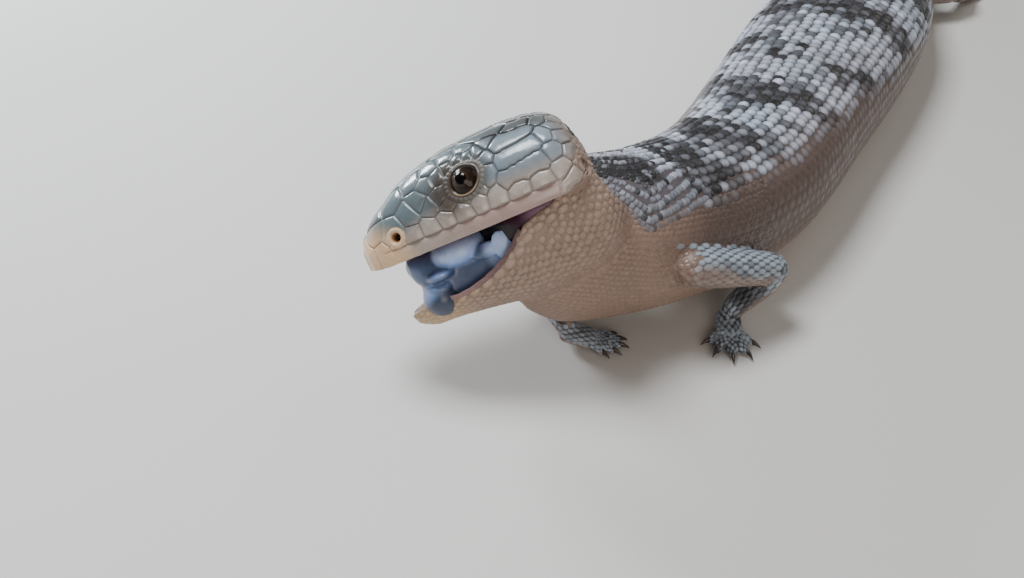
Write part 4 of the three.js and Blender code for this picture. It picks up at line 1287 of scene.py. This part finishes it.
def lining():
    forms, tints = [], []
    turns = np.linspace(184, 356, 60)
    for base, place, up, first, last in LINING_PADS:
        x = np.linspace(first, last, 60)
        surface = base(x[:, None], turns[None, :])
        surface[..., 1] *= 0.97
        lift = np.array([0, 0, 0.25 * up])
        shown = surface + lift
        shown[..., 2] += 0.05 * np.sin(x * 1.7)[:, None] * up
        points, faces = loft(np.concatenate([shown, surface[:, ::-1] - lift * 4], 1))
        forms.append((place(points), faces))
        depth = np.repeat(smoothstep(40, 18, x), 2 * len(turns))
        edge = np.tile(np.concatenate([np.abs(np.cos(np.radians(turns))) ** 6] * 2), len(x))
        # Painted shade: the lining turns near black further back in the mouth
        tint = mix(PURPLE, CAVITY_SHADE, depth)
        tints.append(mix(tint, mix(PINK, LIP, 0.45), edge * 0.85 * (1 - 0.5 * depth)))
    points, faces = barrel(THROAT_FORM, 60, 72, 0.7)
    tint = mix(MAUVE, PURPLE, smoothstep(7, 13, points[:, 0] + 1.5 * noise(points, 4, 55)))
    # Painted shade: near black deeper in the throat behind the tongue
    tints.append(mix(tint, CAVITY_SHADE, smoothstep(13, 18, points[:, 0])))
    forms.append((from_head(points), faces))
    points, faces = joined(forms)
    return make_piece("mouth_lining", points, faces, np.concatenate(tints))


mouth = lining()


# Claws
def claw_forms():
    forms = []
    for leg in LEGS.values():
        for knuckle, direction, length in leg_parts(*leg)[1]:
            t = np.concatenate([[-1.6, -1.5, -0.8], np.linspace(0, 1, 9)])
            centre = toe_arch(knuckle, direction, length, np.full(len(t), 0.9))
            centre += direction * (t * CLAW_LENGTH * 1.1)[:, None]
            t = np.maximum(t, 0)
            centre[:, 2] += 0.45 - 0.95 * t**2
            centre[:, 2] = np.maximum(centre[:, 2], 0.35 * (1 - t) + 0.12)
            radius = TOE_RADIUS * 0.52 * (1 - t) ** 0.7 + 0.04
            radius[0] = 0.1
            rings = tube(centre, toe_side(direction), UP, radius * 0.75, radius, 12)
            rings[..., 2] = np.maximum(rings[..., 2], 0.02)
            forms.append(loft(rings))
    return forms


claw_points, claw_faces = joined(claw_forms())
claw_tint = mix(colour("4A3F38"), colour("1D1815"), 0.5 + 0.5 * noise(claw_points, 1.5, 60))
claws = make_piece("claws", claw_points, claw_faces, claw_tint)

# Skin colour
def whole_skin_tint():
    """The body's pattern, the plain jaw, the flesh inside the lips, and grey legs."""
    station, turn = on_body(skin_points)
    in_head, in_jaw = to_head(skin_points), to_jaw(skin_points)
    on_head = smoothstep(-13, -8, in_head[:, 0])
    jaw_tint = mix(CHEEK * 0.8, THROAT * 0.85, smoothstep(-8, -18, in_jaw[:, 2]))
    jaw_tint = mix(jaw_tint, SNOUT * 0.8, 0.8 * smoothstep(32, 44, in_jaw[:, 0]))
    _, lip_wide, lip_drop, _ = at_distance(JAW, in_jaw[:, 0]).T
    inside_mouth = smoothstep(0.5, -0.6, in_head[:, 2]) * smoothstep(-0.9, -0.3, in_jaw[:, 2] + lip_drop)
    inside_mouth *= smoothstep(4, 12, in_head[:, 0])
    inside_mouth *= smoothstep(0.8, 2.0, lip_wide - np.abs(in_jaw[:, 1]))
    jaw_tint = mix(jaw_tint, mix(CHEEK, PINK, 0.8), inside_mouth)
    body_reach = np.linalg.norm(skin_points - body_point(station, turn), axis=1)
    roots = [np.array(joints[0]) for joints, *_ in LEGS.values()]
    root_reach = np.min([np.linalg.norm(skin_points - root, axis=1) for root in roots], axis=0)
    on_leg = smoothstep(2.0, 4.5, body_reach) * (1 - on_head) * smoothstep(7, 13, root_reach)
    tint = mix(skin_colour(station, turn, skin_points), jaw_tint, on_head)
    return mix(tint, colour("4A4444"), on_leg)


paint(skin.data, whole_skin_tint())


# Materials
def material(name, roughness, bump_scale, bump_strength, mottle, coat=0.0, coat_roughness=0.2, flesh=0.0,
             specular=0.5):
    """The painted colours with fine mottling, uneven gloss, dull rims of scales and a grain."""
    made = bpy.data.materials.new(name)
    made.use_nodes = True
    tree = made.node_tree
    shader = tree.nodes["Principled BSDF"]
    shader.inputs["Coat Weight"].default_value = coat
    shader.inputs["Coat Roughness"].default_value = coat_roughness
    shader.inputs["Subsurface Weight"].default_value = flesh
    shader.inputs["Subsurface Scale"].default_value = 0.0012
    shader.inputs["Specular IOR Level"].default_value = specular

    def add(kind, inputs, **settings):
        node = tree.nodes.new("ShaderNode" + kind)
        for setting, value in settings.items():
            setattr(node, setting, value)
        for socket, value in inputs.items():
            if isinstance(value, bpy.types.NodeSocket):
                tree.links.new(value, node.inputs[socket])
            else:
                node.inputs[socket].default_value = value
        return node.outputs

    def spread(value, low, high, first, last):
        ends = {"From Min": low, "From Max": high, "To Min": first, "To Max": last}
        return add("MapRange", {"Value": value, **ends})["Result"]

    tint = add("Attribute", {}, attribute_name="tint")
    where = add("TexCoord", {})["Object"]
    fleck = add("TexNoise", {"Vector": where, "Scale": 900, "Detail": 5})["Fac"]
    shade = spread(fleck, 0.3, 0.7, 1 - mottle, 1 + mottle)
    mottled = add("VectorMath", {0: tint["Color"], "Scale": shade}, operation="SCALE")["Vector"]
    worn = add("TexNoise", {"Vector": where, "Scale": 260, "Detail": 4})["Fac"]
    uneven = spread(worn, 0.3, 0.7, *roughness)
    dull = spread(tint["Alpha"], 1, 0, 0, 0.45)
    rough = add("Math", {0: uneven, 1: dull}, operation="ADD")["Value"]
    grain = add("TexVoronoi", {"Vector": where, "Scale": bump_scale}, feature="SMOOTH_F1")["Distance"]
    relief = add("Math", {0: grain, 1: fleck}, operation="ADD")["Value"]
    bump = add("Bump", {"Height": relief, "Strength": bump_strength, "Distance": 0.0001})["Normal"]
    tree.links.new(mottled, shader.inputs["Base Color"])
    tree.links.new(rough, shader.inputs["Roughness"])
    tree.links.new(bump, shader.inputs["Normal"])
    return made


hide = material("hide", (0.45, 0.62), 1500, 0.5, 0.12, flesh=0.05)
scale_horn = material("scale_horn", (0.24, 0.38), 1900, 0.25, 0.09, coat=0.12, coat_roughness=0.22)
shield_horn = material("shield_horn", (0.16, 0.28), 1400, 0.18, 0.06, coat=0.12, coat_roughness=0.13)
wet_tongue = material("wet_tongue", (0.32, 0.46), 1500, 0.35, 0.07, coat=0.3, coat_roughness=0.2, flesh=0.1)
wet_mouth = material("wet_mouth", (0.34, 0.50), 900, 0.4, 0.12, coat=0.15, coat_roughness=0.15, flesh=0.1,
                     specular=0.3)
eye_gloss = material("eye_gloss", (0.14, 0.20), 2600, 0.05, 0.05, coat=0.06, coat_roughness=0.03,
                     specular=0.2)
claw_horn = material("claw_horn", (0.28, 0.42), 2200, 0.3, 0.12, coat=0.2)

FLESH_NODES = ["head", "lower_jaw", "neck", "torso", "tail_base", "tail_middle", "tail_tip"]
LEG_NODES = [*LEGS, "forefoot_left", "forefoot_right", "hindfoot_left", "hindfoot_right"]
PIECES = [
    (skin, hide, "skin", FLESH_NODES + LEG_NODES),
    (head_shields, shield_horn, "skin", []),
    *[(lid, shield_horn, "skin", []) for lid in eyelids],
    *[(piece, scale_horn, "skin", []) for piece in coat],
    (eyes[0], eye_gloss, "eye", ["eye_left"]),
    (eyes[1], eye_gloss, "eye", ["eye_right"]),
    (tongue, wet_tongue, "tongue", ["tongue"]),
    (mouth, wet_mouth, "mouth", []),
    (claws, claw_horn, "claw", []),
]
for piece, finish, slot, replaced in PIECES:
    piece.data.materials.clear()
    piece.data.materials.append(finish)
    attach(piece, "root")
    if replaced:
        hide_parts(*replaced)

# Camera, floor and light
FOCAL_PIXELS, PICTURE_PIXELS, SENSOR = 1100, 1024, 36
CAMERA_PLACE = (-0.340, -0.086, 0.200)
CAMERA_LOOK = (0.682, 0.394, -0.616)
camera_data = bpy.data.cameras.new("camera")
camera_data.sensor_width = SENSOR
camera_data.lens = FOCAL_PIXELS * SENSOR / PICTURE_PIXELS
camera_data.clip_start = 0.01
camera = bpy.data.objects.new("camera", camera_data)
bpy.context.scene.collection.objects.link(camera)
camera.location = CAMERA_PLACE
camera.rotation_euler = Vector(CAMERA_LOOK).to_track_quat("-Z", "Y").to_euler()
bpy.context.scene.camera = camera

floor_mesh = bpy.data.meshes.new("floor")
FLOOR = 4  # metres from the middle to each side
corners = [(-FLOOR, -FLOOR, 0), (FLOOR, -FLOOR, 0), (FLOOR, FLOOR, 0), (-FLOOR, FLOOR, 0)]
floor_mesh.from_pydata(corners, [], [(0, 1, 2, 3)])
floor = bpy.data.objects.new("floor", floor_mesh)
bpy.context.scene.collection.objects.link(floor)
floor_finish = bpy.data.materials.new("floor")
floor_finish.use_nodes = True
floor_shader = floor_finish.node_tree.nodes["Principled BSDF"]
floor_shader.inputs["Base Color"].default_value = (0.60, 0.58, 0.55, 1)
floor_shader.inputs["Roughness"].default_value = 0.9
floor_mesh.materials.append(floor_finish)


def area_light(name, place, aim, size, power_watts, tone):
    data = bpy.data.lights.new(name, "AREA")
    data.size = size
    data.energy = power_watts
    data.color = tone
    light = bpy.data.objects.new(name, data)
    light.location = place
    light.rotation_euler = (Vector(aim) - Vector(place)).to_track_quat("-Z", "Y").to_euler()
    bpy.context.scene.collection.objects.link(light)


AIM = (-0.10, 0.02, 0.03)
area_light("key", (-0.15, 0.30, 0.80), AIM, 0.32, 9, (0.90, 0.95, 1.0))
area_light("low", (0.08, 0.75, 0.30), AIM, 0.22, 8, (0.86, 0.93, 1.0))
area_light("fill", (-0.75, -0.55, 0.40), AIM, 0.55, 3.2, (1.0, 0.90, 0.80))
area_light("rear", (0.65, -0.45, 0.80), AIM, 0.8, 2.5, (1.0, 0.95, 0.9))
world = bpy.data.worlds.new("world")
bpy.context.scene.world = world
world.use_nodes = True
sky = world.node_tree.nodes["Background"]
sky.inputs["Color"].default_value = (0.80, 0.82, 0.86, 1)
sky.inputs["Strength"].default_value = 0.20

bpy.context.view_layer.update()
